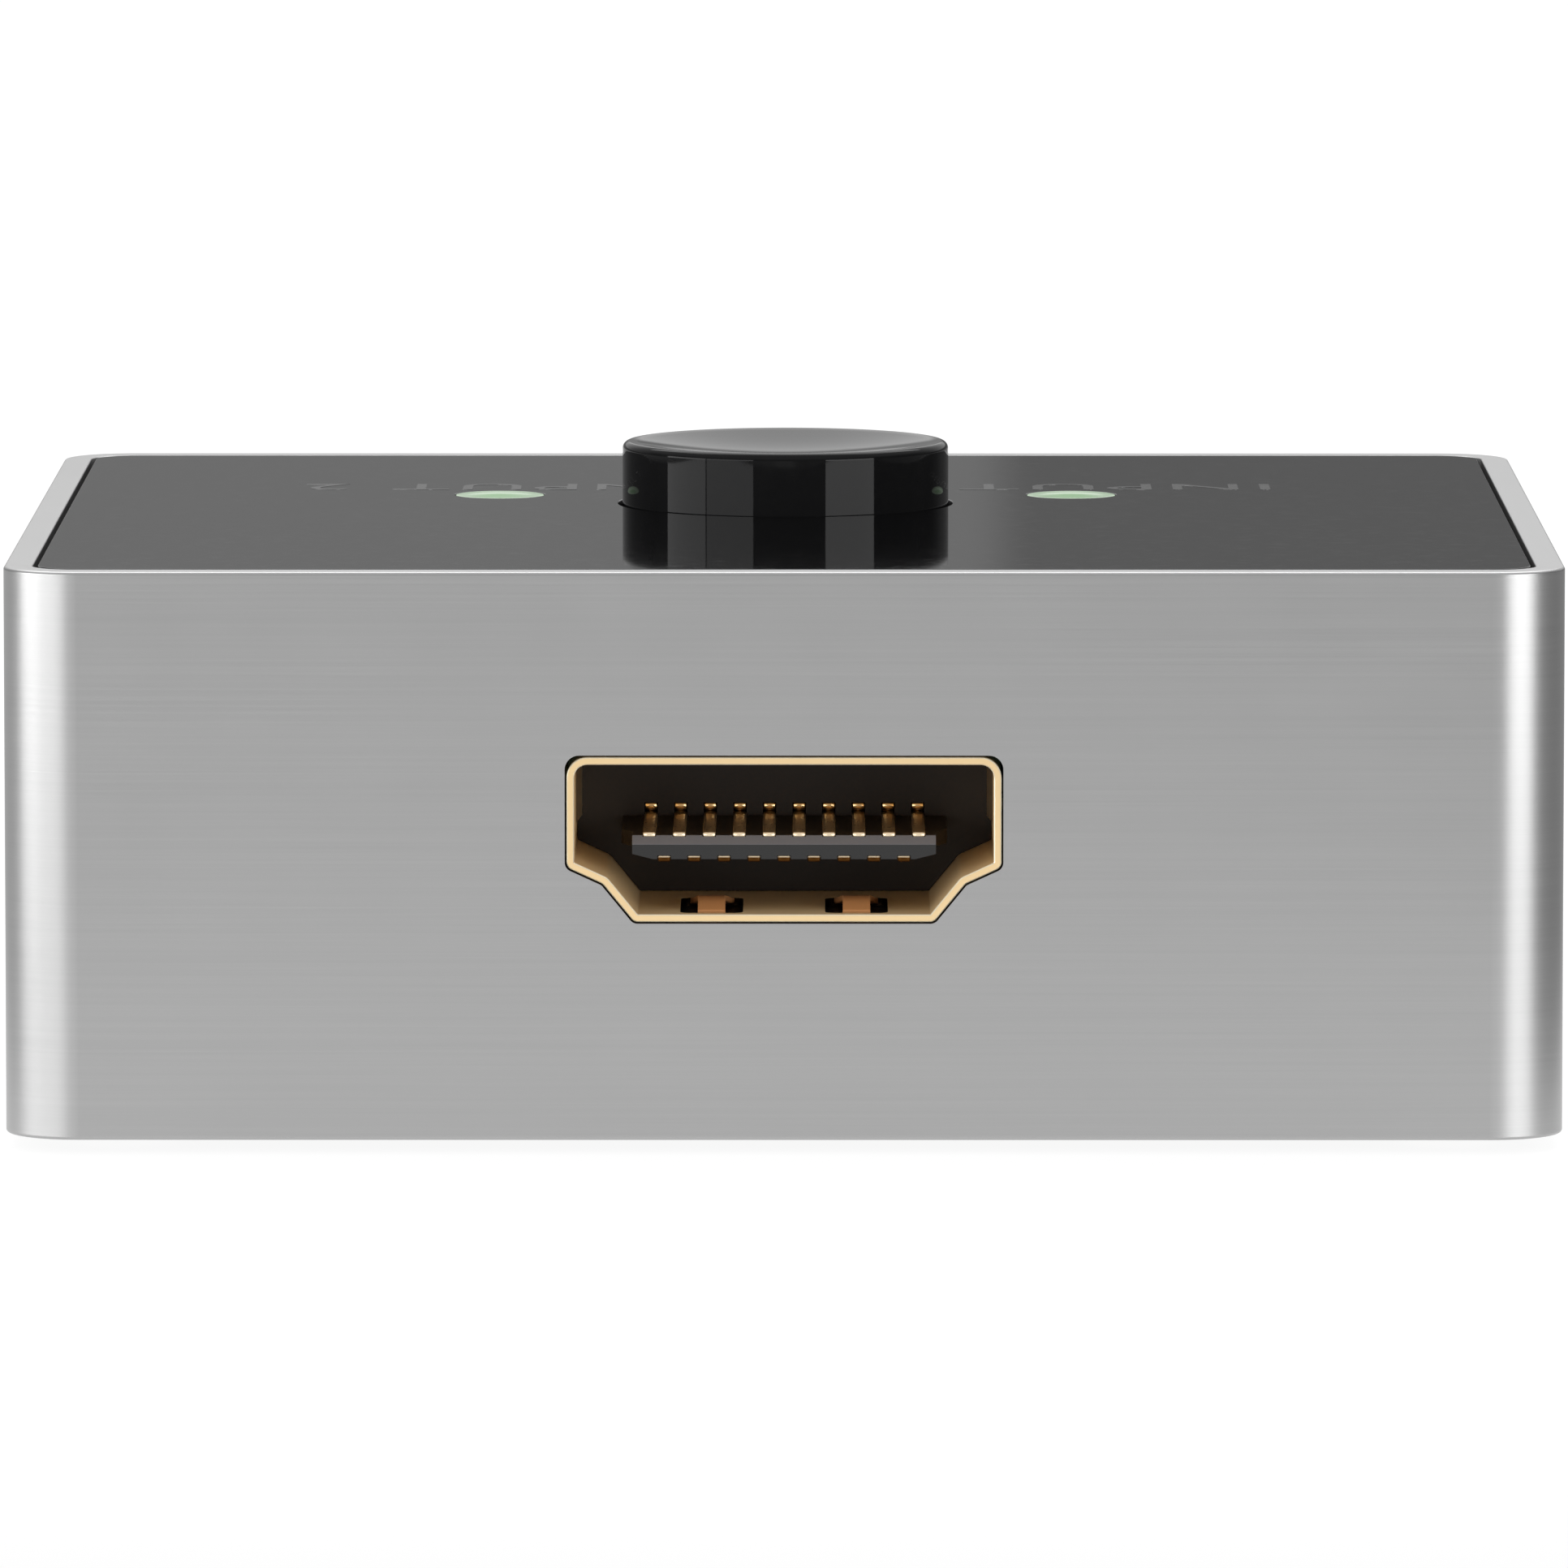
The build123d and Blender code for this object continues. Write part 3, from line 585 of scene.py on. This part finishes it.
def spring_finger(x):
    """A tongue of the sheet, rooted behind and bowed up into the mouth."""
    stations = 18
    rings = []
    for k in range(stations + 1):
        share = k / stations
        z = (finger_root + finger_length * share) * MM
        rise = finger_rise * math.sin(math.pi * min(share / crest, 1.0) / 2) ** 1.6
        if share > crest:
            rise = finger_rise * math.cos(math.pi * (share - crest) / (1 - crest) * 0.42) ** 1.2
        half = (finger_half + root_flare * (1 - min(share / flare_end, 1.0))) * MM
        thick, chip = 0.2 * MM, 0.03 * MM
        upper, lower = low_wall + rise, low_wall + rise - thick
        left, right = x - half, x + half
        left_side = [(left + chip, upper), (left, upper - chip), (left, lower + chip), (left + chip, lower)]
        right_side = [(right - chip, lower), (right, lower + chip), (right, upper - chip), (right - chip, upper)]
        rings.append([(*corner, z) for corner in left_side + right_side])
    return skin("finger", rings)


def merged(name, parts):
    """One object from several, without cutting them."""
    shape = bmesh.new()
    for part in parts:
        shape.from_mesh(part.data)
        bpy.data.objects.remove(part)
    return finished(name, shape)


wall_section = [(0.0, -depth), (0.0, -break_edge), (break_edge, 0.0)]
wall_section += [(sheet - break_edge, 0.0), (sheet, -break_edge), (sheet, -depth)]
rings = []
for inset, z in wall_section:
    wall_line = outline(socket_corners, socket_radii, inset, 8, 0.02 * MM)
    rings.append([(*point, z) for point in wall_line])
shell = skin("shell", rings, closed=True)
for x in (-finger_x, finger_x):
    slot_outline = outline(rectangle(1.05 * MM, 2.25 * MM, x, -2.75 * MM), [0.35 * MM] * 4)
    cut(shell, skin("window", [[(p.x, y * MM, p.y) for p in slot_outline] for y in (-3.0, -2.3)]))
softened(shell, angle=28.0)
# painted highlight: the broken edges round the mouth are painted near white
mark(shell, "painted_edge_highlight", lambda face: face.center.z > -1.5 * break_edge and 0.2 < face.normal.z < 0.9)
mark(shell, "lip", lambda face: face.center.z > -0.5 * break_edge and face.normal.z > 0.9)
mark(shell, "inner", lambda face: abs(face.normal.z) < 0.1)
# painted shade: the cut edges of the finger windows are painted near black
mark(shell, "painted_window_edge_shade", lambda face: -5.3 * MM < face.center.z < -0.3 * MM and abs(face.normal.y) < 0.5
     and face.center.y < low_wall)
parts = [shell]
for side in (-1, 1):
    finger = softened(spring_finger(side * finger_x))
    mark(finger, "sprung", lambda face: True)
    parts.append(finger)
    lug = [(side * 7.0 * MM, -4.2 * MM), (side * 6.83 * MM, -6.6 * MM)]
    lug += [(side * 6.83 * MM, -6.98 * MM), (side * 7.05 * MM, -6.98 * MM)]
    wedge = skin("lug", [[(x, y * MM, z) for x, z in lug] for y in (0.1, 2.2)])
    parts.append(softened(wedge, 0.02 * MM))
    for z in (-4.4, -9.4):
        left, right = sorted((side * 7.0, side * 7.25))
        leg = box_between("leg", (left, -4.86, z - 0.5), (right, -2.3, z + 0.5))
        parts.append(softened(leg, 0.03 * MM))
parts.append(softened(box_between("roof", (-5.5, 2.51, -12.35), (5.5, 2.76, -10.9)), 0.04 * MM))
parts.append(softened(box_between("back", (-5.5, -1.0, -12.35), (5.5, 2.6, -12.1)), 0.04 * MM))
shell = merged("shell", parts)

gold = Finish("gold_plate", {"Metallic": 1.0})
satin = gold.noise(gold.place(), 3.0, 4.0, 0.6)
stain = gold.noise(gold.place(), 0.4, 3.0)
painted_edge_highlight = gold.painted("painted_edge_highlight")
inner = gold.painted("inner")
even_gold = gold.blend(0.5 * satin + 0.5 * stain, (0.80, 0.56, 0.28), (0.92, 0.69, 0.39))
lip = gold.painted("lip")
sprung = gold.painted("sprung")
painted_window_edge_shade = gold.painted("painted_window_edge_shade")
lipped = gold.blend(lip, even_gold, (0.97, 0.73, 0.41))
fingered = gold.blend(sprung, lipped, (0.60, 0.27, 0.10))
# the finger windows' cut edges take painted shade
plated = gold.blend(painted_window_edge_shade, fingered, (0.02, 0.012, 0.006))
gold.vary(
    # the mouth's broken edges carry a painted highlight
    Base_Color=gold.blend(painted_edge_highlight, plated, (1.0, 0.92, 0.72)),
    Metallic=1.0 - 0.5 * inner - 0.7 * sprung,
    Roughness=0.28 + 0.12 * satin + 0.14 * inner,
)


def placed(master, name, matrix):
    """A copy of a master piece at one port."""
    piece = bpy.data.objects.new(name, master.data.copy())
    piece.data.transform(matrix)
    bpy.context.scene.collection.objects.link(piece)
    return piece


for port, matrix in ports.items():
    piece = placed(shell, f"{port}_folded_shell", matrix)
    dressed(piece, gold, "root", "gold_plated_shell", f"{port}_shell")
bpy.data.objects.remove(shell)


# ---------------------------------------------------------------------------------------------
# Socket mouldings. Black heat-resistant plastic: a block that fills the shell behind the cavity
# and a bevelled, shouldered tongue with grooves for the contacts.
back_wall = -7.0
clearance = 0.27 * MM
groove_half = 0.225
moulding_radii = [max(radius - clearance, 0.1 * MM) + clearance for radius in socket_radii]
block_outline = outline(socket_corners, moulding_radii, clearance)
insulator = prism("moulding", block_outline, -depth, back_wall * MM)
tongue_side = [(0.05, -7.5), (0.05, -0.95), (-0.22, -0.6), (-0.72, -0.6), (-0.72, -7.5)]
tongue = skin("tongue", [[(x * MM, y * MM, z * MM) for y, z in tongue_side] for x in (-5.07, 5.07)])
for side in (-1, 1):
    chop = [(side * 5.17, -0.52), (side * 4.38, -0.72), (side * 4.38, -0.9), (side * 5.17, -0.9)]
    cut(tongue, prism("chop", [(x * MM, y * MM) for x, y in chop], -6.98 * MM, 0.0))
shoulder = [(-5.45, -7.5), (-5.45, -3.0), (-5.0, -2.0), (5.0, -2.0), (5.45, -3.0), (5.45, -7.5)]
shoulder_rings = [[(x * MM, y * MM, z * MM) for x, z in shoulder] for y in (-0.45, 0.05)]
joined(tongue, skin("shoulder", shoulder_rings))
joined(insulator, tongue)
for count, low, high, front in ((10, -0.05, 0.25, -0.9), (9, -0.9, -0.6, -0.5)):
    for k in range(count):
        x = k - (count - 1) / 2
        left, right = x - groove_half, x + groove_half
        cut(insulator, box_between("groove", (left, low, -7.6), (right, high, front)))
        if count == 10:
            cut(insulator, box_between("hook_slot", (left, 0.15, -7.9), (right, 0.5, -6.9)))
softened(insulator, 0.02 * MM, 35.0, 1)
# painted highlight: the front of the tongue is painted lighter than the rest of the moulding, its bevel most of
# all
mark(insulator, "nose", lambda face: face.center.z > -1.1 * MM and face.normal.z > 0.3)
mark(insulator, "bevel", lambda face: face.center.z > -1.1 * MM and face.normal.y > 0.3)

moulding = Finish("black_socket_moulding", {"Specular IOR Level": 0.3})
pores = moulding.noise(moulding.place(), 9.0, 4.0, 0.6)
nose = moulding.painted("nose")
bevel = moulding.painted("bevel")
plain = moulding.blend(pores, (0.007, 0.0045, 0.003), (0.015, 0.010, 0.007))
# the tongue's front face and bevel: a painted highlight
painted_nose_highlight = moulding.blend(bevel, (0.023, 0.023, 0.023), (0.125, 0.12, 0.125))
moulding.vary(
    Base_Color=moulding.blend(nose, plain, painted_nose_highlight),
    Roughness=0.38 + 0.15 * pores,
    Normal=moulding.bump(pores, 0.2, 0.00002),
)
for port, matrix in ports.items():
    piece = placed(insulator, f"{port}_moulding", matrix)
    dressed(piece, moulding, "root", "socket_moulding", f"{port}_insulator")
bpy.data.objects.remove(insulator)


# ---------------------------------------------------------------------------------------------
# Contacts. Ten bent strips above the tongue and nine below it, stamped from copper alloy and
# gold-plated; the ends of the lower tips are painted dark as painted shade, and the lit faces at the
# tips pale as a painted highlight. A rule sets out each row at its pitch.
def spread_by_rule(name, master, finish, counts, sizes):
    """Geometry Nodes: copies of a master set out on a grid of counts over sizes, as one mesh."""
    tree = bpy.data.node_groups.new(name, "GeometryNodeTree")
    sockets = {}
    for label, kind in (
        ("Piece", "NodeSocketObject"), ("Finish", "NodeSocketMaterial"), ("Count X", "NodeSocketInt"),
        ("Count Y", "NodeSocketInt"), ("Size X", "NodeSocketFloat"), ("Size Y", "NodeSocketFloat"),
    ):
        sockets[label] = tree.interface.new_socket(label, in_out="INPUT", socket_type=kind).identifier
    tree.interface.new_socket("Geometry", in_out="OUTPUT", socket_type="NodeSocketGeometry")
    group_in, group_out = tree.nodes.new("NodeGroupInput"), tree.nodes.new("NodeGroupOutput")
    grid = tree.nodes.new("GeometryNodeMeshGrid")
    info = tree.nodes.new("GeometryNodeObjectInfo")
    copies = tree.nodes.new("GeometryNodeInstanceOnPoints")
    realize = tree.nodes.new("GeometryNodeRealizeInstances")
    paint = tree.nodes.new("GeometryNodeSetMaterial")
    for source, target in (
        (group_in.outputs["Count X"], grid.inputs["Vertices X"]),
        (group_in.outputs["Count Y"], grid.inputs["Vertices Y"]),
        (group_in.outputs["Size X"], grid.inputs["Size X"]),
        (group_in.outputs["Size Y"], grid.inputs["Size Y"]),
        (group_in.outputs["Piece"], info.inputs["Object"]),
        (group_in.outputs["Finish"], paint.inputs["Material"]),
        (grid.outputs["Mesh"], copies.inputs["Points"]),
        (info.outputs["Geometry"], copies.inputs["Instance"]),
        (copies.outputs["Instances"], realize.inputs["Geometry"]),
        (realize.outputs["Geometry"], paint.inputs["Geometry"]),
        (paint.outputs["Geometry"], group_out.inputs["Geometry"]),
    ):
        tree.links.new(source, target)
    piece = bpy.data.objects.new(name, bpy.data.meshes.new(name))
    bpy.context.scene.collection.objects.link(piece)
    rule = piece.modifiers.new("rule", "NODES")
    rule.node_group = tree
    values = {
        "Piece": master, "Finish": finish.material, "Count X": counts[0], "Count Y": counts[1],
        "Size X": sizes[0], "Size Y": sizes[1],
    }
    for label, value in values.items():
        rule[sockets[label]] = value
    settle(piece)
    bpy.data.objects.remove(master)
    return piece


contact_gold = Finish("plated_contact", {"Metallic": 1.0})
painted_tip_shade = contact_gold.painted("painted_tip_shade")
polish = contact_gold.noise(contact_gold.place(), 6.0, 3.0)
painted_tip_highlight = contact_gold.painted("painted_tip_highlight")
even_strip = contact_gold.blend(polish, (0.84, 0.58, 0.28), (0.96, 0.72, 0.40))
# the ends of the lower tips are painted dark brown as painted shade
strip_colour = contact_gold.blend(painted_tip_shade, even_strip, (0.07, 0.028, 0.006))
contact_gold.vary(
    # the lit faces at the tips are painted pale as a painted highlight
    Base_Color=contact_gold.blend(painted_tip_highlight, strip_colour, (0.97, 0.80, 0.56)),
    Metallic=1.0 - 0.4 * painted_tip_highlight,
    Roughness=0.24 + 0.10 * polish + 0.2 * painted_tip_shade,
)
contact_pitch = 1.0 * MM
strip_half = 0.215 * MM
upper_side = [
    (-0.05, -0.95), (0.15, -0.95), (0.15, -7.7), (0.28, -7.7), (0.28, -7.02),
    (0.50, -7.02), (0.50, -7.9), (0.15, -7.9), (0.15, -11.8), (-2.56, -11.8),
    (-2.56, -12.5), (-2.76, -12.5), (-2.76, -11.6), (-0.05, -11.6),
]
lower_side = [
    (-0.60, -0.55), (-0.60, -11.15), (-2.56, -11.15), (-2.56, -12.5),
    (-2.76, -12.5), (-2.76, -10.95), (-0.80, -10.95), (-0.80, -0.55),
]
for row, side_view, count in (("upper", upper_side, 10), ("lower", lower_side, 9)):
    for port, matrix in ports.items():
        sides = [[(x, y * MM, z * MM) for y, z in side_view] for x in (-strip_half, strip_half)]
        strip = skin("strip", sides)
        softened(strip, 0.045 * MM, 50.0, 1)
        tip = -0.7 * MM if row == "lower" else MM
        # painted shade: the end faces of the lower tips
        mark(strip, "painted_tip_shade", lambda face: face.center.z > tip and face.normal.z > 0.3
             and face.normal.y < 0.3)
        # painted highlight: the faces at the tips that catch the light
        mark(strip, "painted_tip_highlight", lambda face: face.center.z > -1.05 * MM and face.normal.z > 0.3
             and face.normal.y > (0.3 if row == "lower" else -0.3))
        row_size = ((count - 1) * contact_pitch, 0.0)
        contacts = spread_by_rule(f"{port}_{row}_row", strip, contact_gold, (count, 1), row_size)
        contacts.data.transform(matrix)
        dressed(contacts, contact_gold, "root", "contact_gold", f"{port}_{row}_contacts")


# ---------------------------------------------------------------------------------------------
# Base plate. Moulded black plastic with a fine spark-eroded skin, let into the underside of the
# ring: posts for the board, lips inside the ring, pockets for the feet and counterbored holes.
def carried(name, node, edge):
    """A finer copy of a CAD node: its triangles joined up again and its edges broken."""
    piece = bpy.data.objects.new(name, nodes[node].data.copy())
    bpy.context.scene.collection.objects.link(piece)
    shape = bmesh.new()
    shape.from_mesh(piece.data)
    bmesh.ops.remove_doubles(shape, verts=shape.verts, dist=0.002 * MM)
    bmesh.ops.dissolve_limit(shape, angle_limit=math.radians(1.0), verts=shape.verts, edges=shape.edges)
    shape.to_mesh(piece.data)
    shape.free()
    return softened(piece, edge, 30.0, 1)


plate_plastic = Finish("spark_eroded_plastic")
sparks = plate_plastic.noise(plate_plastic.place(), 7.0, 5.0, 0.7)
scuffs = plate_plastic.noise(plate_plastic.place(150.0, 900.0, 900.0), 0.6, 4.0, 0.65).span(0.58, 0.75)
plate_plastic.vary(
    Base_Color=plate_plastic.blend(sparks, (0.010, 0.010, 0.011), (0.022, 0.022, 0.023)),
    Roughness=0.48 + 0.16 * sparks - 0.12 * scuffs,
    Normal=plate_plastic.bump(sparks, 0.5, 0.00004),
)
base = carried("moulded_base", "base_plate", 0.04 * MM)
dressed(base, plate_plastic, "root", "plate_plastic", "base_plate")


# ---------------------------------------------------------------------------------------------
# Base screws. Nickel-plated steel with cross recesses, sunk in the plate's corners; a rule sets
# them out on the ring's corner blocks.
steel = Finish("nickel_plated_steel", {"Metallic": 1.0})
turning = steel.noise(steel.place(), 5.0, 4.0, 0.6)
steel.vary(
    Base_Color=steel.blend(turning, (0.36, 0.355, 0.34), (0.52, 0.51, 0.49)),
    Roughness=0.26 + 0.16 * turning,
)


shank_radius = 0.8 * MM
recess_reach = 0.95 * MM
recess_half = 0.2 * MM


def screw(name, centre, head_face, head_seat, tip):
    """A cheese-head screw; its head's outer face, its seat and its tip are heights."""
    up = 1 if tip > head_seat else -1
    chip = 0.12 * MM * up
    profile = [(0.0, head_face), (1.55 * MM, head_face), (1.66 * MM, head_face + 0.4 * chip)]
    profile += [(screw_head_radius, head_face + chip), (screw_head_radius, head_seat)]
    profile += [(shank_radius, head_seat), (shank_radius, tip - 2 * chip), (0.55 * MM, tip), (0.0, tip)]
    piece = turned(name, profile, centre, 48)
    for half in ((recess_reach, recess_half), (recess_half, recess_reach)):
        wide = [(*corner, head_face - chip) for corner in rectangle(*half, centre.x, centre.y)]
        narrow = [
            (0.6 * x + 0.4 * centre.x, 0.6 * y + 0.4 * centre.y, head_face + 4.5 * chip) for x, y, _ in wide
        ]
        cut(piece, skin("recess", [wide, narrow]))
    return softened(piece)


screw_spacing = (2 * screw_x, 2 * screw_y)
head_seat = plate_bottom + 1.0 * MM
master = screw("base_screw", Vector((0, 0, 0)), screws_low.z, head_seat, screws_high.z)
base_screws = spread_by_rule("base_screw_set", master, steel, (2, 2), screw_spacing)
dressed(base_screws, steel, "root", "screw_steel", "base_screws")


# ---------------------------------------------------------------------------------------------
# Feet. Four pads of matt black rubber bedded in the plate's pockets, with moulded round edges.
feet_low, feet_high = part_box("rubber_feet")
foot_half_x = 4.5 * MM
foot_half_y = 2.5 * MM
foot_corner = 1.5 * MM
foot_corners = rectangle(foot_half_x, foot_half_y)
foot_profile = [(0.45, 0.0), (0.22, 0.012), (0.08, 0.08), (0.0, 0.25), (0.0, 0.9)]
rings = []
for inset, z in foot_profile:
    foot_line = outline(foot_corners, [foot_corner] * 4, inset * MM, 10)
    rings.append([(*point, feet_low.z + z * MM) for point in foot_line])
rubber = Finish("matt_rubber", {"Specular IOR Level": 0.3})
pebble = rubber.cells(rubber.place(), 3.2)
dust = rubber.noise(rubber.place(), 1.2, 5.0, 0.65).span(0.5, 0.8)
rubber.vary(
    Base_Color=rubber.blend(dust, (0.012, 0.012, 0.012), (0.035, 0.034, 0.033)),
    Roughness=0.78 + 0.12 * dust,
    Normal=rubber.bump(pebble, 0.35, 0.00005),
)
foot_spacing = (2 * (feet_high.x - foot_half_x), 2 * (feet_high.y - foot_half_y))
foot = softened(skin("foot", rings), angle=50.0)
feet = spread_by_rule("rubber_foot_set", foot, rubber, (2, 2), foot_spacing)
dressed(feet, rubber, "root", "foot_rubber", "rubber_feet")


# ---------------------------------------------------------------------------------------------
# Main board. Glass laminate under black solder mask, held by two screws to the plate's posts. On
# it stand the push switch, the lamps, the switching chip, its crystal and the small chip parts.
laminate = Finish("black_solder_mask", {"Coat Weight": 0.3})
weave = laminate.cells(laminate.place(), 2.4)
tracks = laminate.noise(laminate.place(1000.0, 120.0, 1000.0), 1.1, 1.0).span(0.54, 0.56)
laminate.vary(
    Base_Color=laminate.blend(tracks, (0.008, 0.008, 0.009), (0.022, 0.021, 0.019)),
    Roughness=0.32 + 0.12 * weave,
    Normal=laminate.bump(tracks + 0.2 * weave, 0.3, 0.00003),
)
board = carried("etched_board", "main_board", 0.03 * MM)
dressed(board, laminate, "root", "board_laminate", "main_board")

boards_low, boards_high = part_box("board_screws")
board_screw_head = 1.1 * MM
pair = []
for side in (-1, 1):
    x = side * (boards_high.x - screw_head_radius)
    y = side * (boards_high.y - screw_head_radius)
    seat = boards_high.z - board_screw_head
    pair.append(screw("board_screw", Vector((x, y, 0)), boards_high.z, seat, boards_low.z))
dressed(merged("board_screw_pair", pair), steel, "root", "screw_steel", "board_screws")


def speckled(name, dark, light, rough, shine, metallic=0.0):
    """A small part's finish: two near shades in a fine grain."""
    finish = Finish(name, {"Metallic": metallic, "Specular IOR Level": shine})
    grit = finish.noise(finish.place(), 8.0, 4.0, 0.6)
    finish.vary(
        Base_Color=finish.blend(grit, dark, light),
        Roughness=rough + 0.15 * grit,
        Normal=finish.bump(grit, 0.15, 0.00001),
    )
    return finish


frame_plastic = speckled("moulded_frame", (0.016, 0.016, 0.017), (0.030, 0.030, 0.031), 0.42, 0.5)
film = speckled("adhesive_film", (0.008, 0.008, 0.008), (0.016, 0.016, 0.016), 0.6, 0.4)
switch_black = speckled("switch_moulding", (0.014, 0.014, 0.015), (0.026, 0.026, 0.027), 0.35, 0.5)
stainless = speckled("thin_stainless", (0.48, 0.47, 0.45), (0.62, 0.61, 0.59), 0.22, 0.5, 1.0)
tinned = speckled("tinned_metal", (0.58, 0.58, 0.58), (0.74, 0.74, 0.73), 0.30, 0.5, 1.0)
epoxy = speckled("black_epoxy", (0.011, 0.011, 0.012), (0.024, 0.024, 0.025), 0.5, 0.4)
tan = speckled("tan_ceramic", (0.30, 0.205, 0.125), (0.44, 0.32, 0.21), 0.38, 0.5)
resist = speckled("resistor_glaze", (0.012, 0.012, 0.013), (0.030, 0.030, 0.031), 0.3, 0.5)
clear = speckled("lamp_resin", (0.58, 0.66, 0.42), (0.72, 0.78, 0.58), 0.15, 0.5)
for node, finish, slot_name, edge in (
    ("inner_frame", frame_plastic, "frame_plastic", 0.05 * MM),
    ("panel_adhesive", film, "adhesive_film", 0.01 * MM),
    ("switch_base", switch_black, "switch_moulding", 0.06 * MM),
    ("switch_cover", stainless, "switch_steel", 0.03 * MM),
    ("switch_dome", stainless, "switch_steel", 0.01 * MM),
    ("switch_leads", tinned, "tinned_metal", 0.03 * MM),
    ("status_lamps", clear, "lamp_resin", 0.04 * MM),
    ("switch_chip", epoxy, "chip_resin", 0.04 * MM),
    ("crystal_can", stainless, "switch_steel", 0.05 * MM),
    ("surge_arrays", epoxy, "chip_resin", 0.04 * MM),
    ("capacitors", tan, "capacitor_ceramic", 0.06 * MM),
    ("resistors", resist, "resistor_ceramic", 0.03 * MM),
):
    piece = dressed(carried(f"{node}_detail", node, edge), finish, "root", slot_name, node)
    if node == "switch_dome":
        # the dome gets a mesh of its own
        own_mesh(piece)
plunger = carried("plunger_detail", "switch_plunger", 0.06 * MM)
dressed(plunger, switch_black, "button", "switch_moulding", "switch_plunger")


# ---------------------------------------------------------------------------------------------
# Camera. It looks at the output side from a little above, through a very long lens, so the box
# stands nearly in elevation with its black top seen as a thin slab.
eye_distance = 0.5108
eye_height = 0.0469
eye_side = 0.00093
aim_height = 0.01197
eye = Vector((eye_side, ring_low.y - eye_distance, ring_high.z + eye_height))
aim = Vector((0.0, ring_low.y, ring_low.z + aim_height))
lens = bpy.data.cameras.new("studio_camera")
lens.lens = 354.0
lens.sensor_width = 36.0
lens.clip_start = 0.01
camera = bpy.data.objects.new("studio_camera", lens)
camera.location = eye
camera.rotation_euler = (aim - eye).to_track_quat("-Z", "Y").to_euler()
bpy.context.scene.collection.objects.link(camera)
bpy.context.scene.camera = camera
bpy.context.scene.view_settings.view_transform = "Standard"


# ---------------------------------------------------------------------------------------------
# Floor. A light table: plain white where the box stands, and dimmer away from it, most of all to
# the right of the box and far in front. From below it is clear, so that the underside shows.
bpy.ops.mesh.primitive_plane_add(size=8.0)
floor = bpy.context.object
floor.name = "light_table"
table_inputs = {"Base Color": (0.12, 0.12, 0.12, 1.0), "Roughness": 0.9, "Specular IOR Level": 0.0}
table_finish = Finish("light_table", {**table_inputs, "Emission Strength": 1.0})
floor_x, floor_y = table_finish.axis("X"), table_finish.axis("Y")
from_box = abs(floor_x) - 0.052 * floor_y
beside = from_box.span(0.032, 0.060)
before = (-1.0 * floor_y).span(0.066, 0.13)
to_the_right = floor_x.span(0.0, 0.02)
side_level = 0.50 - 0.28 * to_the_right
lit = (1.0 - beside) * (1.0 - 0.10 * before)
table_level = 0.92 * lit + side_level * beside
below = table_finish.node("ShaderNodeNewGeometry", {}, {}, "Backfacing")
table_finish.vary(
    Emission_Color=table_finish.blend(table_level, (0.0, 0.0, 0.0), (1.0, 1.0, 1.0)),
    Alpha=1.0 - below,
)
table_finish.wears(floor)


# ---------------------------------------------------------------------------------------------
# Light. The surround is bright overhead and grey near the horizon, a step darker on the right of
# the far side; soft boxes to the left and the right of the front roll over the ring's corners.
world = bpy.data.worlds.new("studio_surround")
bpy.context.scene.world = world
world.use_nodes = True
world.node_tree.nodes.clear()
surround = Finish("surround", tree=world.node_tree)
gaze = surround.node("ShaderNodeTexCoord", {}, {}, "Generated")
across, along, up = (surround.axis(name, gaze) for name in "XYZ")
behind = along.span(0.2, 0.6)
low_dark = 1.0 - up.span(0.095, 0.15)
back_grey = 0.300 - 0.105 * across.span(0.010, 0.0145)
back_high = 0.92 - 0.12 * up.span(0.2, 0.7)
back_level = back_grey * low_dark + back_high * (1.0 - low_dark)
front_level = 0.34 + 0.69 * up.span(0.15, 0.6)
right_flank = 0.62 * across.span(0.55, 0.85)
left_flank = 0.45 * (-1.0 * across).span(0.3, 0.75) * along.span(0.0, 0.3)
flanks = right_flank + left_flank
side_keep = 1.0 - flanks * (1.0 - up.span(0.2, 0.6))
level = (front_level * (1.0 - behind) + back_level * behind) * side_keep
glow = surround.node("ShaderNodeBackground", {}, {"Strength": level})
surround.join(glow, world.node_tree.nodes.new("ShaderNodeOutputWorld").inputs["Surface"])


def soft_box(name, azimuth, distance, middle, size, power):
    """An area light facing the box; its azimuth counts from straight in front, to the right."""
    light = bpy.data.lights.new(name, "AREA")
    light.shape = "RECTANGLE"
    light.size, light.size_y = size
    light.energy = power
    lamp = bpy.data.objects.new(name, light)
    angle = math.radians(azimuth)
    lamp.location = (distance * math.sin(angle), -distance * math.cos(angle), middle)
    target = Vector((0.0, 0.0, 0.012))
    lamp.rotation_euler = (target - lamp.location).to_track_quat("-Z", "Y").to_euler()
    lamp.visible_camera = False
    bpy.context.scene.collection.objects.link(lamp)


soft_box("soft_box_left", -75.0, 0.30, 0.038, (0.18, 0.076), 0.25)
soft_box("soft_box_left_fill", -40.0, 0.32, 0.038, (0.20, 0.076), 0.21)
soft_box("soft_box_right", 47.0, 0.30, 0.038, (0.20, 0.076), 0.33)
soft_box("overhead", 180.0, 0.30, 0.50, (0.7, 0.4), 2.4)
